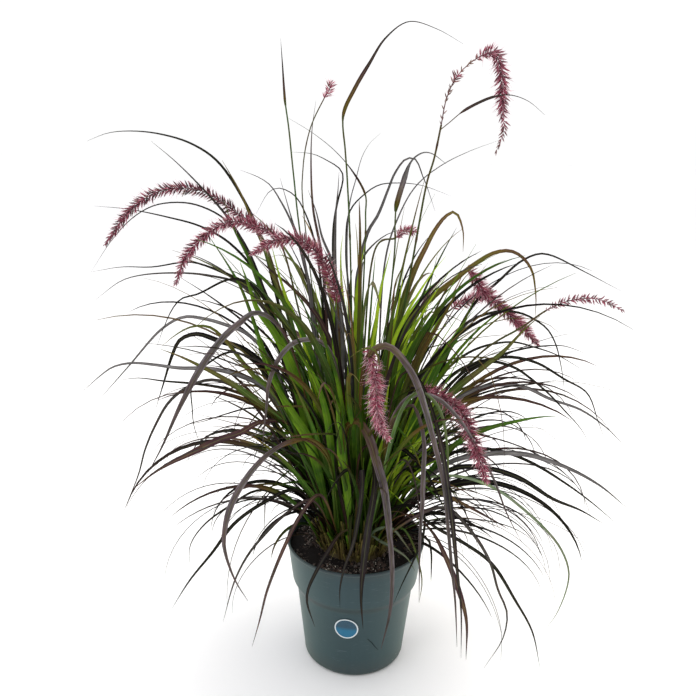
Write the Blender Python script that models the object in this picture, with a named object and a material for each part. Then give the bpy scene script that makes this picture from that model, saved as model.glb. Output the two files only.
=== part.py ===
# Potted fountain grass: a round nursery pot, soil, the crown of the plant, leafy shoots in two
# rings, flower stems with bottle-brush plumes and young culms with a flag leaf.
# Metres, +Z up. The origin is the middle of the flat underside of the pot, the front faces -Y.

import math

import bmesh
import bpy
from mathutils import Vector

# Clearance between two pieces that touch
GAP = 0.0003

# Pot
POT_HEIGHT = 0.175
RIM_RADIUS = 0.095
RIM_BEAD = 0.0035
RIM_STEP = 0.0014
RIM_EDGE = 0.0008
COLLAR_FOOT_RADIUS = 0.0858
COLLAR_FOOT_HEIGHT = 0.1075
BODY_TOP_RADIUS = 0.0799
BODY_TOP_HEIGHT = 0.0985
BASE_RADIUS = 0.0695
BASE_ROUNDING = 0.006
POT_WALL = 0.0018
POT_FLOOR = 0.0025
POT_SIDES = 32

# Soil and crown
SOIL_TOP = 0.1630
SOIL_LUMP = 0.0022
SOIL_SLOPE = 0.002
LUMPY_RADII = (0.0800, 0.0660)
SEAT_RADIUS = 0.052
CROWN_RADIUS = 0.050
CROWN_TOP_RADIUS = 0.043
CROWN_HEIGHT = 0.0125
CROWN_SIDES = 24

# Label
LABEL_RADIUS = 0.0163
LABEL_THICKNESS = 0.0005
LABEL_HEIGHT = 0.0815
LABEL_AZIMUTH = 261.8
LABEL_SIDES = 20
# Rings of the label from its middle out, as shares of its radius, so that it follows the wall
LABEL_REACHES = (0.3, 0.65, 1.0)

# Leafy shoots: 28 upright planes round the crown, every second one with an outer shoot
PLANES = 28
TILLER_HALF_WIDTH = 0.0021
TILLER_OUTSIDE = 0.0012
TILLER_INSIDE = 0.0022
LEAF_FOOT = 0.004
LEAF_WIDTH = 0.0100
LEAF_KEEL = 0.0013
LEAF_STEPS = 7
# The outline of a leaf: where it is broadest, and its width at the foot and the tip as shares
LEAF_BROADEST = 0.35
LEAF_FOOT_SHARE = 0.42
LEAF_TIP_SHARE = 0.12
# How far round the crown a leaf ends from the plane of its shoot, in degrees
LEAF_SWINGS = (4.5, -4.5, 3.5, -3.0)
# The clump grows fullest on this side: azimuth in degrees
FULL_SIDE = -45.0
# The golden section spreads the values of neighbouring shoots evenly
GOLDEN = 0.618

# Launch angle and leaf length run from the first value to the second from shoot to shoot. Fuller
# is the share of the length gained on the full side. Leaves: lean, droop and length, from below
OUTER_SHOOT = {
    "ring": 0.041, "tiller": 0.024, "launch": (56.0, 72.0), "length": (0.335, 0.400),
    "fuller": 0.15, "bend": 1.3,
    "leaves": ((-14.0, 118.0, 0.80), (-7.0, 128.0, 0.92), (0.0, 134.0, 1.00), (5.0, 138.0, 0.96)),
}
INNER_SHOOT = {
    "ring": 0.024, "tiller": 0.062, "launch": (77.0, 86.0), "length": (0.430, 0.490),
    "fuller": 0.04, "bend": 1.9,
    "leaves": ((-16.0, 132.0, 0.90), (-9.0, 124.0, 1.00), (-3.0, 104.0, 1.02), (3.0, 66.0, 0.94)),
}

# Flower stems and plumes
STEM_RADIUS = 0.0012
STEM_SIDES = 4
PLUME_RADIUS = 0.0085
PLUME_WHORL = 0.0018
PLUME_SIDES = 6
PLUME_RING_SPACING = 0.020
STEM_STEPS = 8
CURVE_STEPS = 400

# Points that each flower stem passes, then those of its plume, in millimetres
FLOWERS = {
    "1": ([(-13, 0), (-52, -5, 330), (-94, -10, 500)],
          [(-122, -14, 591), (-156, -18, 622), (-194, -22, 645), (-239, -27, 644), (-277, -31, 619),
           (-306, -34, 581)]),
    "2": ([(-14, -5), (-46, -15, 350), (-76, -26, 500)],
          [(-98, -34, 587), (-125, -44, 606), (-155, -54, 612), (-182, -64, 596), (-203, -71, 573),
           (-215, -75, 543)]),
    "3": ([(-7, -5), (-15, -10, 300), (-24, -15, 430)],
          [(-29, -18, 510), (-37, -23, 542), (-51, -32, 571), (-74, -46, 591), (-100, -63, 592),
           (-125, -78, 580)]),
    "4": ([(10, 1), (40, 16, 380), (66, 23, 560), (79, 28, 649), (88, 31, 684)],
          [(95, 33, 724), (100, 35, 754), (112, 39, 781), (135, 47, 802), (158, 56, 810),
           (170, 59, 786), (173, 60, 751), (178, 62, 721), (169, 59, 691)]),
    "5": ([(14, 2), (50, 4, 350), (98, 10, 500)],
          [(133, 15, 548), (156, 18, 523), (183, 21, 499), (210, 24, 475), (236, 26, 449)]),
    "6": ([(15, 8), (40, 19, 290), (60, 30, 370), (94, 54, 455)],
          [(126, 70, 485), (143, 77, 493), (162, 83, 499), (180, 90, 504)]),
    "7": ([(13, -4), (42, -2, 270), (82, -7, 350), (150, -17, 445), (202, -23, 485)],
          [(229, -26, 507), (258, -29, 521), (290, -33, 523), (320, -36, 510)]),
    "8": ([(3, -14), (8, -31, 243), (14, -52, 330), (13, -92, 450)],
          [(8, -121, 480), (13, -134, 464), (16, -148, 447), (17, -162, 430), (20, -176, 414),
           (29, -190, 403)]),
    "9": ([(8, -10), (27, -42, 330), (50, -74, 415)],
          [(74, -100, 428), (97, -122, 423), (114, -144, 414), (121, -166, 397), (127, -188, 381),
           (132, -210, 365)]),
    "10": ([(-12, 5), (-46, 12, 400), (-72, 20, 607), (-74, 20, 668), (-65, 12, 716)],
           [(-48, 10, 752), (-43, 10, 759), (-40, 10, 770)]),
    "11": ([(1, 6), (6, 13, 430), (16, 24, 566)],
           [(45, 50, 583), (57, 55, 593), (72, 60, 590)]),
}

# Young culms: the points that the stem passes, then those of the flag leaf, in millimetres
YOUNG_CULMS = {
    "1": ([(-8, 9), (-48, 28, 400), (-78, 47, 578), (-88, 54, 660), (-94, 59, 716)],
          [(-99, 62, 752), (-102, 64, 795), (-104, 65, 824)]),
    "2": ([(-1, -3), (-8, -2, 400), (-14, 0, 574), (-19, 0, 658), (-22, 0, 693)],
          [(-25, 0, 732), (-12, 5, 763), (5, 10, 792), (23, 15, 820), (50, 20, 839),
           (84, 25, 832), (116, 30, 817)]),
    "3": ([(6, 5), (30, 18, 400), (42, 26, 558), (42, 26, 602)],
          [(43, 27, 625), (50, 31, 652), (59, 37, 678)]),
    "4": ([(-2, 10), (1, 20, 400), (5, 38, 571), (5, 50, 613)],
          [(4, 60, 638), (-14, 75, 667), (-38, 90, 692), (-67, 105, 713), (-99, 120, 731)]),
}
FLAG_LEAF_WIDTH = 0.0055

# Flag leaf that turns away from the stem of the fourth flower
FLAG_OF_FLOWER = "4"
FLAG_FOOT = 0.5
FLAG_POINTS = [(101, 27, 722), (118, 20, 742), (142, 14, 753), (170, 8, 753), (196, 4, 742)]

TO_METRES = 0.001


def clear_scene():
    for old in list(bpy.data.objects):
        bpy.data.objects.remove(old, do_unlink=True)


def make_material(name, colour, roughness):
    material = bpy.data.materials.new(name)
    material.use_nodes = True
    surface = material.node_tree.nodes["Principled BSDF"]
    surface.inputs["Base Color"].default_value = (*colour, 1.0)
    surface.inputs["Roughness"].default_value = roughness
    surface.inputs["Metallic"].default_value = 0.0
    return material


def add_object(name, work, material):
    """Turns a finished bmesh into an object of its own."""
    bmesh.ops.recalc_face_normals(work, faces=work.faces)
    if work.calc_volume(signed=True) < 0:
        bmesh.ops.reverse_faces(work, faces=work.faces)
    mesh = bpy.data.meshes.new(name)
    work.to_mesh(mesh)
    work.free()
    mesh.materials.append(material)
    mesh.shade_smooth()
    mesh.set_sharp_from_angle(angle=math.radians(35))
    item = bpy.data.objects.new(name, mesh)
    bpy.context.scene.collection.objects.link(item)
    return item


def on_circle(radius, azimuth, height):
    return Vector((radius * math.cos(azimuth), radius * math.sin(azimuth), height))


def skin(work, rings):
    """Joins rings of points into a closed skin with a flat cap at each end."""
    loops = [[work.verts.new(point) for point in ring] for ring in rings]
    for lower, upper in zip(loops, loops[1:]):
        for k, corner in enumerate(lower):
            after = (k + 1) % len(lower)
            work.faces.new((corner, lower[after], upper[after], upper[k]))
    work.faces.new(list(reversed(loops[0])))
    work.faces.new(loops[-1])


def turned_rings(profile, sides, lump=None):
    rings = []
    for radius, height in profile:
        ring = []
        for k in range(sides):
            azimuth = 2 * math.pi * k / sides
            rise = lump(radius, azimuth) if lump else 0.0
            ring.append(on_circle(radius, azimuth, height + rise))
        rings.append(ring)
    return rings


def smooth_curve(points, steps):
    """Points at even spacing along a smooth curve through the given ones."""
    padded = [points[0] * 2 - points[1], *points, points[-1] * 2 - points[-2]]
    fine = []
    for p0, p1, p2, p3 in zip(padded, padded[1:], padded[2:], padded[3:]):
        for k in range(16):
            t = k / 16
            bend = (p0 * -1 + p1 * 3 - p2 * 3 + p3) * t ** 3
            bow = (p0 * 2 - p1 * 5 + p2 * 4 - p3) * t ** 2
            fine.append((bend + bow + (p2 - p0) * t + p1 * 2) * 0.5)
    fine.append(points[-1].copy())
    lengths = [0.0]
    for before, after in zip(fine, fine[1:]):
        lengths.append(lengths[-1] + (after - before).length)
    curve = []
    at = 0
    for k in range(steps + 1):
        wanted = lengths[-1] * k / steps
        while at < len(fine) - 2 and lengths[at + 1] < wanted:
            at += 1
        share = (wanted - lengths[at]) / (lengths[at + 1] - lengths[at])
        curve.append(fine[at].lerp(fine[at + 1], min(share, 1.0)))
    return curve


def directions(curve):
    """The direction of travel at each point of a curve."""
    last = len(curve) - 1
    return [(curve[min(k + 1, last)] - curve[max(k - 1, 0)]).normalized()
            for k in range(last + 1)]


def round_rings(curve, radii, sides, first=None, final=None, flatness=None):
    """Rings round a curve, turned from one to the next as little as can be.

    A flatness for each ring makes it wide and thin, as a leaf is."""
    ways = directions(curve)
    ways[0] = first or ways[0]
    ways[-1] = final or ways[-1]
    side = ways[0].orthogonal().normalized()
    rings = []
    for k, (centre, way, radius) in enumerate(zip(curve, ways, radii)):
        side = (side - way * side.dot(way)).normalized()
        other = way.cross(side) * (flatness[k] if flatness else 1.0)
        ring = []
        for k in range(sides):
            turn = 2 * math.pi * k / sides
            ring.append(centre + (side * math.cos(turn) + other * math.sin(turn)) * radius)
        rings.append(ring)
    return rings


def blade_rings(curve, width, keel):
    """Three-cornered rings of a keeled leaf."""
    rings = []
    last = len(curve) - 1
    for k, (centre, way) in enumerate(zip(curve, directions(curve))):
        share = k / last
        spread = width * leaf_outline(share) / 2
        flat = Vector((way.x, way.y, 0.0))
        if flat.length < 0.02:
            flat = Vector((centre.x, centre.y, 0.0))
        across = Vector((-flat.y, flat.x, 0.0)).normalized()
        under = across.cross(way).normalized()
        depth = keel * (0.4 + 0.6 * leaf_outline(share))
        rings.append([centre + across * spread, centre - across * spread, centre + under * depth])
    return rings


def leaf_outline(share):
    """Share of the full width at this share of the length."""
    grow = LEAF_FOOT_SHARE + (1 - LEAF_FOOT_SHARE) * min(share / LEAF_BROADEST, 1.0)
    taper = 1.0 - max(share - LEAF_BROADEST, 0.0) / (1 - LEAF_BROADEST)
    return grow * (LEAF_TIP_SHARE + (1 - LEAF_TIP_SHARE) * taper ** 0.8)


def unite(item, others):
    """Boolean union of several closed solids into one body."""
    for other in others:
        cut = item.modifiers.new("join", "BOOLEAN")
        cut.operation = "UNION"
        cut.solver = "EXACT"
        cut.object = other
    bpy.context.view_layer.update()
    graph = bpy.context.evaluated_depsgraph_get()
    joined = bpy.data.meshes.new_from_object(item.evaluated_get(graph))
    item.modifiers.clear()
    item.data = joined
    joined.name = item.name
    for other in others:
        bpy.data.objects.remove(other, do_unlink=True)
    return item


def body_radius(height):
    """Outer radius of the tapered body of the pot at a height."""
    share = height / BODY_TOP_HEIGHT
    return BASE_RADIUS + (BODY_TOP_RADIUS - BASE_RADIUS) * share


def pot_profile():
    """Outer wall from the underside up to the top of the rim."""
    outer = []
    for k in range(4):
        turn = math.radians(30 * k)
        radius = body_radius(BASE_ROUNDING) - BASE_ROUNDING * (1 - math.sin(turn))
        outer.append((radius, BASE_ROUNDING * (1 - math.cos(turn))))
    outer.append((BODY_TOP_RADIUS, BODY_TOP_HEIGHT))
    outer.append((COLLAR_FOOT_RADIUS, COLLAR_FOOT_HEIGHT))
    bead_foot = POT_HEIGHT - RIM_BEAD
    outer.append((RIM_RADIUS - RIM_STEP, bead_foot - RIM_EDGE))
    outer.append((RIM_RADIUS, bead_foot))
    outer.append((RIM_RADIUS, POT_HEIGHT - RIM_EDGE))
    outer.append((RIM_RADIUS - RIM_EDGE, POT_HEIGHT))
    return outer


def inner_profile(inset):
    """Inner wall from the rim down to the floor, set in from the outer wall."""
    floor = POT_FLOOR + inset - POT_WALL
    return [
        (RIM_RADIUS - RIM_STEP - inset, POT_HEIGHT - RIM_BEAD),
        (COLLAR_FOOT_RADIUS - inset, COLLAR_FOOT_HEIGHT),
        (BODY_TOP_RADIUS - inset, BODY_TOP_HEIGHT),
        (body_radius(BASE_ROUNDING) - inset, BASE_ROUNDING + floor),
        (body_radius(BASE_ROUNDING) - inset - BASE_ROUNDING / 2, floor),
    ]


def make_pot():
    work = bmesh.new()
    rim_edge = (RIM_RADIUS - POT_WALL - RIM_EDGE, POT_HEIGHT)
    skin(work, turned_rings([*pot_profile(), rim_edge, *inner_profile(POT_WALL)], POT_SIDES))
    return add_object("pot", work, make_material("pot plastic", (0.075, 0.115, 0.130), 0.42))


def soil_lump(radius, azimuth):
    """Height of the bumps in the open soil between the crown and the wall of the pot."""
    if radius not in LUMPY_RADII:
        return 0.0
    wave = math.sin(3 * azimuth + radius * 260) + math.sin(7 * azimuth - radius * 410)
    return SOIL_LUMP * 0.5 * wave


def make_soil():
    inset = POT_WALL + GAP
    rise = (SOIL_TOP - COLLAR_FOOT_HEIGHT) / (POT_HEIGHT - RIM_BEAD - COLLAR_FOOT_HEIGHT)
    widening = RIM_RADIUS - RIM_STEP - COLLAR_FOOT_RADIUS
    edge_radius = COLLAR_FOOT_RADIUS + widening * rise - inset - GAP
    profile = list(reversed(inner_profile(inset)[1:]))
    profile.append((edge_radius, SOIL_TOP - SOIL_SLOPE))
    for radius in (*LUMPY_RADII, SEAT_RADIUS):
        profile.append((radius, SOIL_TOP))
    work = bmesh.new()
    skin(work, turned_rings(profile, POT_SIDES, soil_lump))
    return add_object("potting_soil", work, make_material("peat soil", (0.020, 0.013, 0.010), 0.95))


def crown_top():
    return SOIL_TOP + GAP + CROWN_HEIGHT


def make_crown():
    foot = SOIL_TOP + GAP
    profile = [
        (CROWN_RADIUS, foot),
        (CROWN_RADIUS - 0.0008, foot + CROWN_HEIGHT * 0.55),
        (CROWN_TOP_RADIUS + 0.0025, foot + CROWN_HEIGHT * 0.9),
        (CROWN_TOP_RADIUS, foot + CROWN_HEIGHT),
    ]
    work = bmesh.new()
    skin(work, turned_rings(profile, CROWN_SIDES))
    return add_object("crown", work, make_material("old stem bases", (0.16, 0.12, 0.05), 0.8))


def make_label():
    """A thin round disc that follows the tapered wall of the pot."""
    work = bmesh.new()
    middle = math.radians(LABEL_AZIMUTH)
    rings = []
    inside = [(reach, GAP) for reach in LABEL_REACHES]
    outside = [(reach, GAP + LABEL_THICKNESS) for reach in reversed(LABEL_REACHES)]
    for reach, lift in inside + outside:
        ring = []
        for k in range(LABEL_SIDES):
            turn = 2 * math.pi * k / LABEL_SIDES
            height = LABEL_HEIGHT + LABEL_RADIUS * reach * math.sin(turn)
            radius = body_radius(height)
            azimuth = middle + LABEL_RADIUS * reach * math.cos(turn) / radius
            ring.append(on_circle(radius + lift, azimuth, height))
        rings.append(ring)
    skin(work, rings)
    return add_object("label", work, make_material("label film", (0.03, 0.20, 0.30), 0.35))


def leaf_curve(foot, azimuth, launch, droop, length, swing, sharpness):
    """A leaf that rises at its launch angle and droops more and more toward its tip."""
    fine = 60
    curve = [foot]
    for k in range(fine):
        share = (k + 0.5) / fine
        angle = math.radians(launch - droop * share ** sharpness)
        heading = azimuth + math.radians(swing) * share
        step = length / fine
        flat = step * math.cos(angle)
        move = Vector((flat * math.cos(heading), flat * math.sin(heading), step * math.sin(angle)))
        curve.append(curve[-1] + move)
    return [curve[round(fine * (k / LEAF_STEPS) ** (1 / sharpness))] for k in range(LEAF_STEPS + 1)]


def shoot_values(plane):
    """Azimuth, launch angle and leaf length of the shoot in a plane, and what kind it is."""
    kind = INNER_SHOOT if plane % 2 else OUTER_SHOOT
    spread = plane * GOLDEN % 1.0
    azimuth = 2 * math.pi * plane / PLANES
    fuller = kind["fuller"] * (math.cos(azimuth - math.radians(FULL_SIDE)) - 1 / 3)
    low, high = kind["launch"]
    short, long = kind["length"]
    return azimuth, low + (high - low) * spread, (short + (long - short) * spread) * (1 + fuller), kind


def tiller_rings(work, foot, azimuth, launch, tall):
    """Three-cornered rings of the short stem of a shoot, with its flat side facing out."""
    away = on_circle(1.0, azimuth, 0.0)
    across = Vector((-away.y, away.x, 0.0))
    lean = math.radians(launch)
    way = away * math.cos(lean) + Vector((0.0, 0.0, math.sin(lean)))
    rings = []
    for k, reach in enumerate((0.0, *(tall + LEAF_FOOT * step for step in range(4)))):
        outward = away if k == 0 else across.cross(way)
        centre = foot + way * reach
        edge = centre + outward * TILLER_OUTSIDE
        corners = (edge + across * TILLER_HALF_WIDTH, edge - across * TILLER_HALF_WIDTH,
                   centre - outward * TILLER_INSIDE)
        rings.append([work.verts.new(corner) for corner in corners])
    return rings, way


def leaf_skin(work, curve):
    """Closes a leaf from its second ring to its tip and returns the corners of that ring."""
    loops = [[work.verts.new(point) for point in ring]
             for ring in blade_rings(curve, LEAF_WIDTH, LEAF_KEEL)[1:]]
    for lower, upper in zip(loops, loops[1:]):
        for k, corner in enumerate(lower):
            after = (k + 1) % 3
            work.faces.new((corner, lower[after], upper[after], upper[k]))
    work.faces.new(loops[-1])
    return loops[0]


def side_leaf_base(work, ring, above, leaf):
    """Opens the flat outer side of the stem between two rings into the foot of a leaf."""
    (left, right, back), (left_above, right_above, back_above) = ring, above
    leaf_left, leaf_right, keel = leaf
    faces = (
        (left, back, back_above, left_above),
        (back, right, right_above, back_above),
        (left_above, right_above, leaf_right),
        (left_above, leaf_right, leaf_left),
        (left, left_above, leaf_left),
        (left, leaf_left, keel),
        (right_above, right, leaf_right),
        (right, keel, leaf_right),
        (right, left, keel),
    )
    for face in faces:
        work.faces.new(face)


def top_leaf_base(work, ring, leaf):
    """Turns the three corners of the stem's top into those of the last leaf."""
    left, right, back = ring
    leaf_left, leaf_right, keel = leaf
    faces = (
        (back, left, leaf_left),
        (left, keel, leaf_left),
        (left, right, keel),
        (right, leaf_right, keel),
        (right, back, leaf_right),
        (back, leaf_left, leaf_right),
    )
    for face in faces:
        work.faces.new(face)


def make_shoot(plane, material):
    """A short stem with leaves: the lower ones leave its outer side, the last one its top."""
    azimuth, launch, length, kind = shoot_values(plane)
    tall = kind["tiller"]
    foot = on_circle(kind["ring"], azimuth, crown_top() + GAP)
    work = bmesh.new()
    rings, way = tiller_rings(work, foot, azimuth, launch, tall)
    work.faces.new(rings[0])
    for k in range(3):
        after = (k + 1) % 3
        work.faces.new((rings[0][k], rings[0][after], rings[1][after], rings[1][k]))
    for k, (turn, droop, share) in enumerate(kind["leaves"]):
        start = foot + way * (tall + LEAF_FOOT * min(k + 0.5, 3.0))
        swing = LEAF_SWINGS[k] * (1 if plane % 4 < 2 else -1)
        curve = leaf_curve(start, azimuth, launch + turn, droop, length * share, swing, kind["bend"])
        leaf = leaf_skin(work, curve)
        if k < 3:
            side_leaf_base(work, rings[k + 1], rings[k + 2], leaf)
        else:
            top_leaf_base(work, rings[-1], leaf)
    name = ("inner_shoot_" if plane % 2 else "outer_shoot_") + f"{plane // 2 + 1:02d}"
    return add_object(name, work, material)


def in_metres(points):
    """Points of a stem: the first, with no height of its own, stands on the crown."""
    first, *others = points
    foot = Vector((first[0] * TO_METRES, first[1] * TO_METRES, crown_top() + GAP))
    return [foot, *[Vector(point) * TO_METRES for point in others]]


def split_curve(stem_points, head_points, stem_steps, head_steps):
    """One smooth curve, parted with a clearance where the stem ends and the head begins."""
    whole = smooth_curve([*stem_points, *head_points], CURVE_STEPS)
    joint = head_points[0]
    at = min(range(len(whole)), key=lambda k: (whole[k] - joint).length)
    way = (whole[at + 1] - whole[at - 1]).normalized()
    stem = smooth_curve(whole[:at - 2:8] + [whole[at] - way * 3 * GAP, whole[at]], stem_steps)
    head = smooth_curve([whole[at] + way * GAP] + whole[at + 6::8] + [whole[-1]], head_steps)
    return stem, head, way


def stem_radii():
    """A stem is a little stouter at its foot than under its head."""
    return [STEM_RADIUS * (1.15 - 0.3 * k / STEM_STEPS) for k in range(STEM_STEPS + 1)]


def make_stem(name, curve, material, final):
    work = bmesh.new()
    skin(work, round_rings(curve, stem_radii(), STEM_SIDES, Vector((0, 0, 1)), final))
    return add_object(name, work, material)


def make_plume(name, curve, first, material):
    """A tapered bottle-brush: swelling and narrowing by turns along its length."""
    last = len(curve) - 1
    full = PLUME_RADIUS * min(1.0, 0.55 + 3.0 * sum(
        (after - before).length for before, after in zip(curve, curve[1:])))
    radii = []
    for k in range(last + 1):
        share = k / last
        outline = min(0.35 + 3.2 * share, 1.0, 0.18 + 2.2 * (1.0 - share))
        radii.append(full * outline - (PLUME_WHORL if k % 2 and 0 < k < last else 0.0) * outline)
    work = bmesh.new()
    skin(work, round_rings(curve, radii, PLUME_SIDES, first))
    return add_object(name, work, material)


def make_flowers(stem_material, plume_material, leaf_material):
    for number, (stem_points, plume_points) in FLOWERS.items():
        stem_line = in_metres(stem_points)
        plume_line = [Vector(point) * TO_METRES for point in plume_points]
        plume_length = sum((b - a).length for a, b in zip(plume_line, plume_line[1:]))
        rings = max(4, round(plume_length / PLUME_RING_SPACING))
        stem, head, way = split_curve(stem_line, plume_line, STEM_STEPS, rings)
        item = make_stem(f"flower_stem_{number}", stem, stem_material, way)
        if number == FLAG_OF_FLOWER:
            foot = stem[-2].lerp(stem[-1], FLAG_FOOT)
            flag = smooth_curve([foot, *[Vector(point) * TO_METRES for point in FLAG_POINTS]],
                                STEM_STEPS)
            work = bmesh.new()
            skin(work, blade_rings(flag, FLAG_LEAF_WIDTH, LEAF_KEEL))
            unite(item, [add_object("flag leaf", work, leaf_material)])
        make_plume(f"plume_{number}", head, way, plume_material)


def make_young_culms(material):
    """Each culm is one sweep: a round stem that flattens into its flag leaf."""
    for number, (stem_points, leaf_points) in YOUNG_CULMS.items():
        stem_line = in_metres(stem_points)
        leaf_line = [Vector(point) * TO_METRES for point in leaf_points]
        leaf_steps = 2 + 2 * len(leaf_points)
        stem, leaf, _ = split_curve(stem_line, leaf_line, STEM_STEPS, leaf_steps)
        curve = stem + leaf[1:]
        radii = stem_radii()
        flatness = [1.0] * (STEM_STEPS + 1)
        for k in range(1, leaf_steps + 1):
            share = leaf_outline(min(0.2 + 0.8 * k / leaf_steps, 1.0))
            radii.append(max(FLAG_LEAF_WIDTH * share / 2, 0.0004))
            flatness.append(min(1.0, LEAF_KEEL / 2 / radii[-1]))
        work = bmesh.new()
        rings = round_rings(curve, radii, STEM_SIDES, Vector((0, 0, 1)), None, flatness)
        skin(work, rings)
        add_object(f"young_culm_{number}", work, material)


def main():
    clear_scene()
    make_pot()
    make_soil()
    make_crown()
    make_label()
    leaf = make_material("grass leaf", (0.085, 0.110, 0.035), 0.45)
    stem = make_material("flower stem", (0.10, 0.12, 0.04), 0.5)
    plume = make_material("plume bristles", (0.30, 0.09, 0.12), 0.8)
    for plane in range(PLANES):
        make_shoot(plane, leaf)
    make_flowers(stem, plume, leaf)
    make_young_culms(stem)


main()
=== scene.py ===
# Potted clump of purple fountain grass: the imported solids, dressed with their leaves, plumes and soil.
import math
import bpy
import numpy as np
from mathutils import Matrix, Vector


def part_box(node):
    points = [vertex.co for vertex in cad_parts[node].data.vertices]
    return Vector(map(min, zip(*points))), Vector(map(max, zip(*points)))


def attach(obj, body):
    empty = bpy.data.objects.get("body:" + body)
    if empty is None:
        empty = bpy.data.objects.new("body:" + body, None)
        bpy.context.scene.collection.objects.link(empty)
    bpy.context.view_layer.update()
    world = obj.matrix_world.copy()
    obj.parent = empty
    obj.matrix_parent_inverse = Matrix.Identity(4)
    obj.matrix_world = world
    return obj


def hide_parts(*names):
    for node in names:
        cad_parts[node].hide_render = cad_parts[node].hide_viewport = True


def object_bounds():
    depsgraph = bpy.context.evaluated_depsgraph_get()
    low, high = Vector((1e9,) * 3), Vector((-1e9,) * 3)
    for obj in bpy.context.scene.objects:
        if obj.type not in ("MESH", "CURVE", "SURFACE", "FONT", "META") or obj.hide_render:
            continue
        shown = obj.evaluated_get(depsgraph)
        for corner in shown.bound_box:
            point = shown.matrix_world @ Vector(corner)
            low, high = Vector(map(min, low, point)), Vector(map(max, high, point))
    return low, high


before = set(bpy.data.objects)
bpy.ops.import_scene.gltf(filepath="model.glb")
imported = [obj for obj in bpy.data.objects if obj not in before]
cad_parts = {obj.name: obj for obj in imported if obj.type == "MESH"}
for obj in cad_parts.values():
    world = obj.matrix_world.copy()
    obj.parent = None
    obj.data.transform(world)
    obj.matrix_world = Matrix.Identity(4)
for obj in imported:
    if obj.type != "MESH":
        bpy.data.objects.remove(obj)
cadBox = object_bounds()
scene = bpy.context.scene
chance = np.random.default_rng(41)
mm = 0.001


# small helpers for meshes

def smoothLine(points, steps):
    # even stations on a smooth curve through the points
    points = np.asarray(points, float)
    ends = [2 * points[0] - points[1], 2 * points[-1] - points[-2]]
    knots = np.vstack([ends[0], points, ends[1]])
    t = np.linspace(0, 1, 16, endpoint=False)[:, None]
    parts = []
    for a, b, c, d in zip(knots, knots[1:], knots[2:], knots[3:]):
        parts.append(0.5 * (2 * b + (c - a) * t + (2 * a - 5 * b + 4 * c - d) * t ** 2
                            + (3 * b - a - 3 * c + d) * t ** 3))
    fine = np.vstack([*parts, points[-1]])
    return evenStations(fine, steps)


def routeLine(points, steps):
    # a smooth curve through points whose spacing differs a lot
    points = np.asarray(points, float)
    gaps = np.sqrt(np.linalg.norm(np.diff(points, axis=0), axis=1))
    knots = np.concatenate([[0], np.cumsum(gaps)])
    slopes = np.gradient(points, knots, axis=0)
    t = np.linspace(0, knots[-1], 16 * len(points))
    k = np.clip(np.searchsorted(knots, t, side="right") - 1, 0, len(points) - 2)
    width, s = gaps[k][:, None], ((t - knots[k]) / gaps[k])[:, None]
    fine = ((2 * s ** 3 - 3 * s ** 2 + 1) * points[k] + (s ** 3 - 2 * s ** 2 + s) * width * slopes[k]
            + (3 * s ** 2 - 2 * s ** 3) * points[k + 1] + (s ** 3 - s ** 2) * width * slopes[k + 1])
    return evenStations(fine, steps)


def evenStations(line, steps):
    reach = np.concatenate([[0], np.cumsum(np.linalg.norm(np.diff(line, axis=0), axis=1))])
    wanted = np.linspace(0, reach[-1], steps + 1)
    return np.stack([np.interp(wanted, reach, line[:, axis]) for axis in range(3)], axis=1)


def lineLength(line):
    return float(np.linalg.norm(np.diff(line, axis=0), axis=1).sum())


def joined(*parts):
    # numbers or lists side by side, as the parts of points, casts or places on a strip
    return np.stack(np.broadcast_arrays(*parts), axis=-1)


def onRing(radius, azimuth, height):
    return joined(radius * np.cos(azimuth), radius * np.sin(azimuth), height)


def sideOf(azimuth):
    # level, and square to the way out at an azimuth
    return np.array((-math.sin(azimuth), math.cos(azimuth), 0.0))


def railsOf(line, side=None):
    # direction of travel, and two directions across it that turn as little as they can
    ways = np.gradient(line, axis=0)
    ways /= np.linalg.norm(ways, axis=1)[:, None]
    if side is None:
        side = np.cross(ways[0], (0.3, 1.0, 0.1))
    sides = np.empty_like(ways)
    for k, way in enumerate(ways):
        side = side - way * (side @ way)
        side = side / math.sqrt(side @ side)
        sides[k] = side
    return ways, sides, np.cross(ways, sides)


def newBed():
    return {"points": [], "faces": [], "uv": [], "cast": [], "count": 0}


def addRings(bed, rings, uv, cast):
    # a closed skin round rings of corners, each with its place across and along and its cast
    stations, corners = rings.shape[:2]
    grid = bed["count"] + np.arange(stations * corners).reshape(stations, corners)
    after = np.roll(grid, -1, axis=1)
    quads = np.stack([grid[:-1], after[:-1], after[1:], grid[1:]], axis=-1).reshape(-1, 4)
    bed["faces"].extend(quads.tolist())
    bed["faces"].append(grid[0, ::-1].tolist())
    bed["faces"].append(grid[-1].tolist())
    bed["points"].append(rings.reshape(-1, 3))
    bed["uv"].append(np.broadcast_to(uv, (stations, corners, 2)).reshape(-1, 2))
    bed["cast"].append(np.broadcast_to(cast, (stations, corners, 3)).reshape(-1, 3))
    bed["count"] += stations * corners


def scatterShape(bed, shape, turns, places, casts):
    # copies of one small closed shape: a turn matrix, a place and a cast for each
    points = np.einsum("nij,pj->npi", turns, shape["points"]) + places[:, None, :]
    copies, each = points.shape[:2]
    first = bed["count"] + np.arange(copies) * each
    for face in shape["faces"]:
        bed["faces"].extend((first[:, None] + np.asarray(face)[None, :]).tolist())
    bed["points"].append(points.reshape(-1, 3))
    bed["uv"].append(np.tile(shape["uv"], (copies, 1)))
    full = np.repeat(casts[:, None, :], each, axis=1)
    full[:, :, 0] += shape["along"][None, :]
    bed["cast"].append(full.reshape(-1, 3))
    bed["count"] += copies * each


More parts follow.
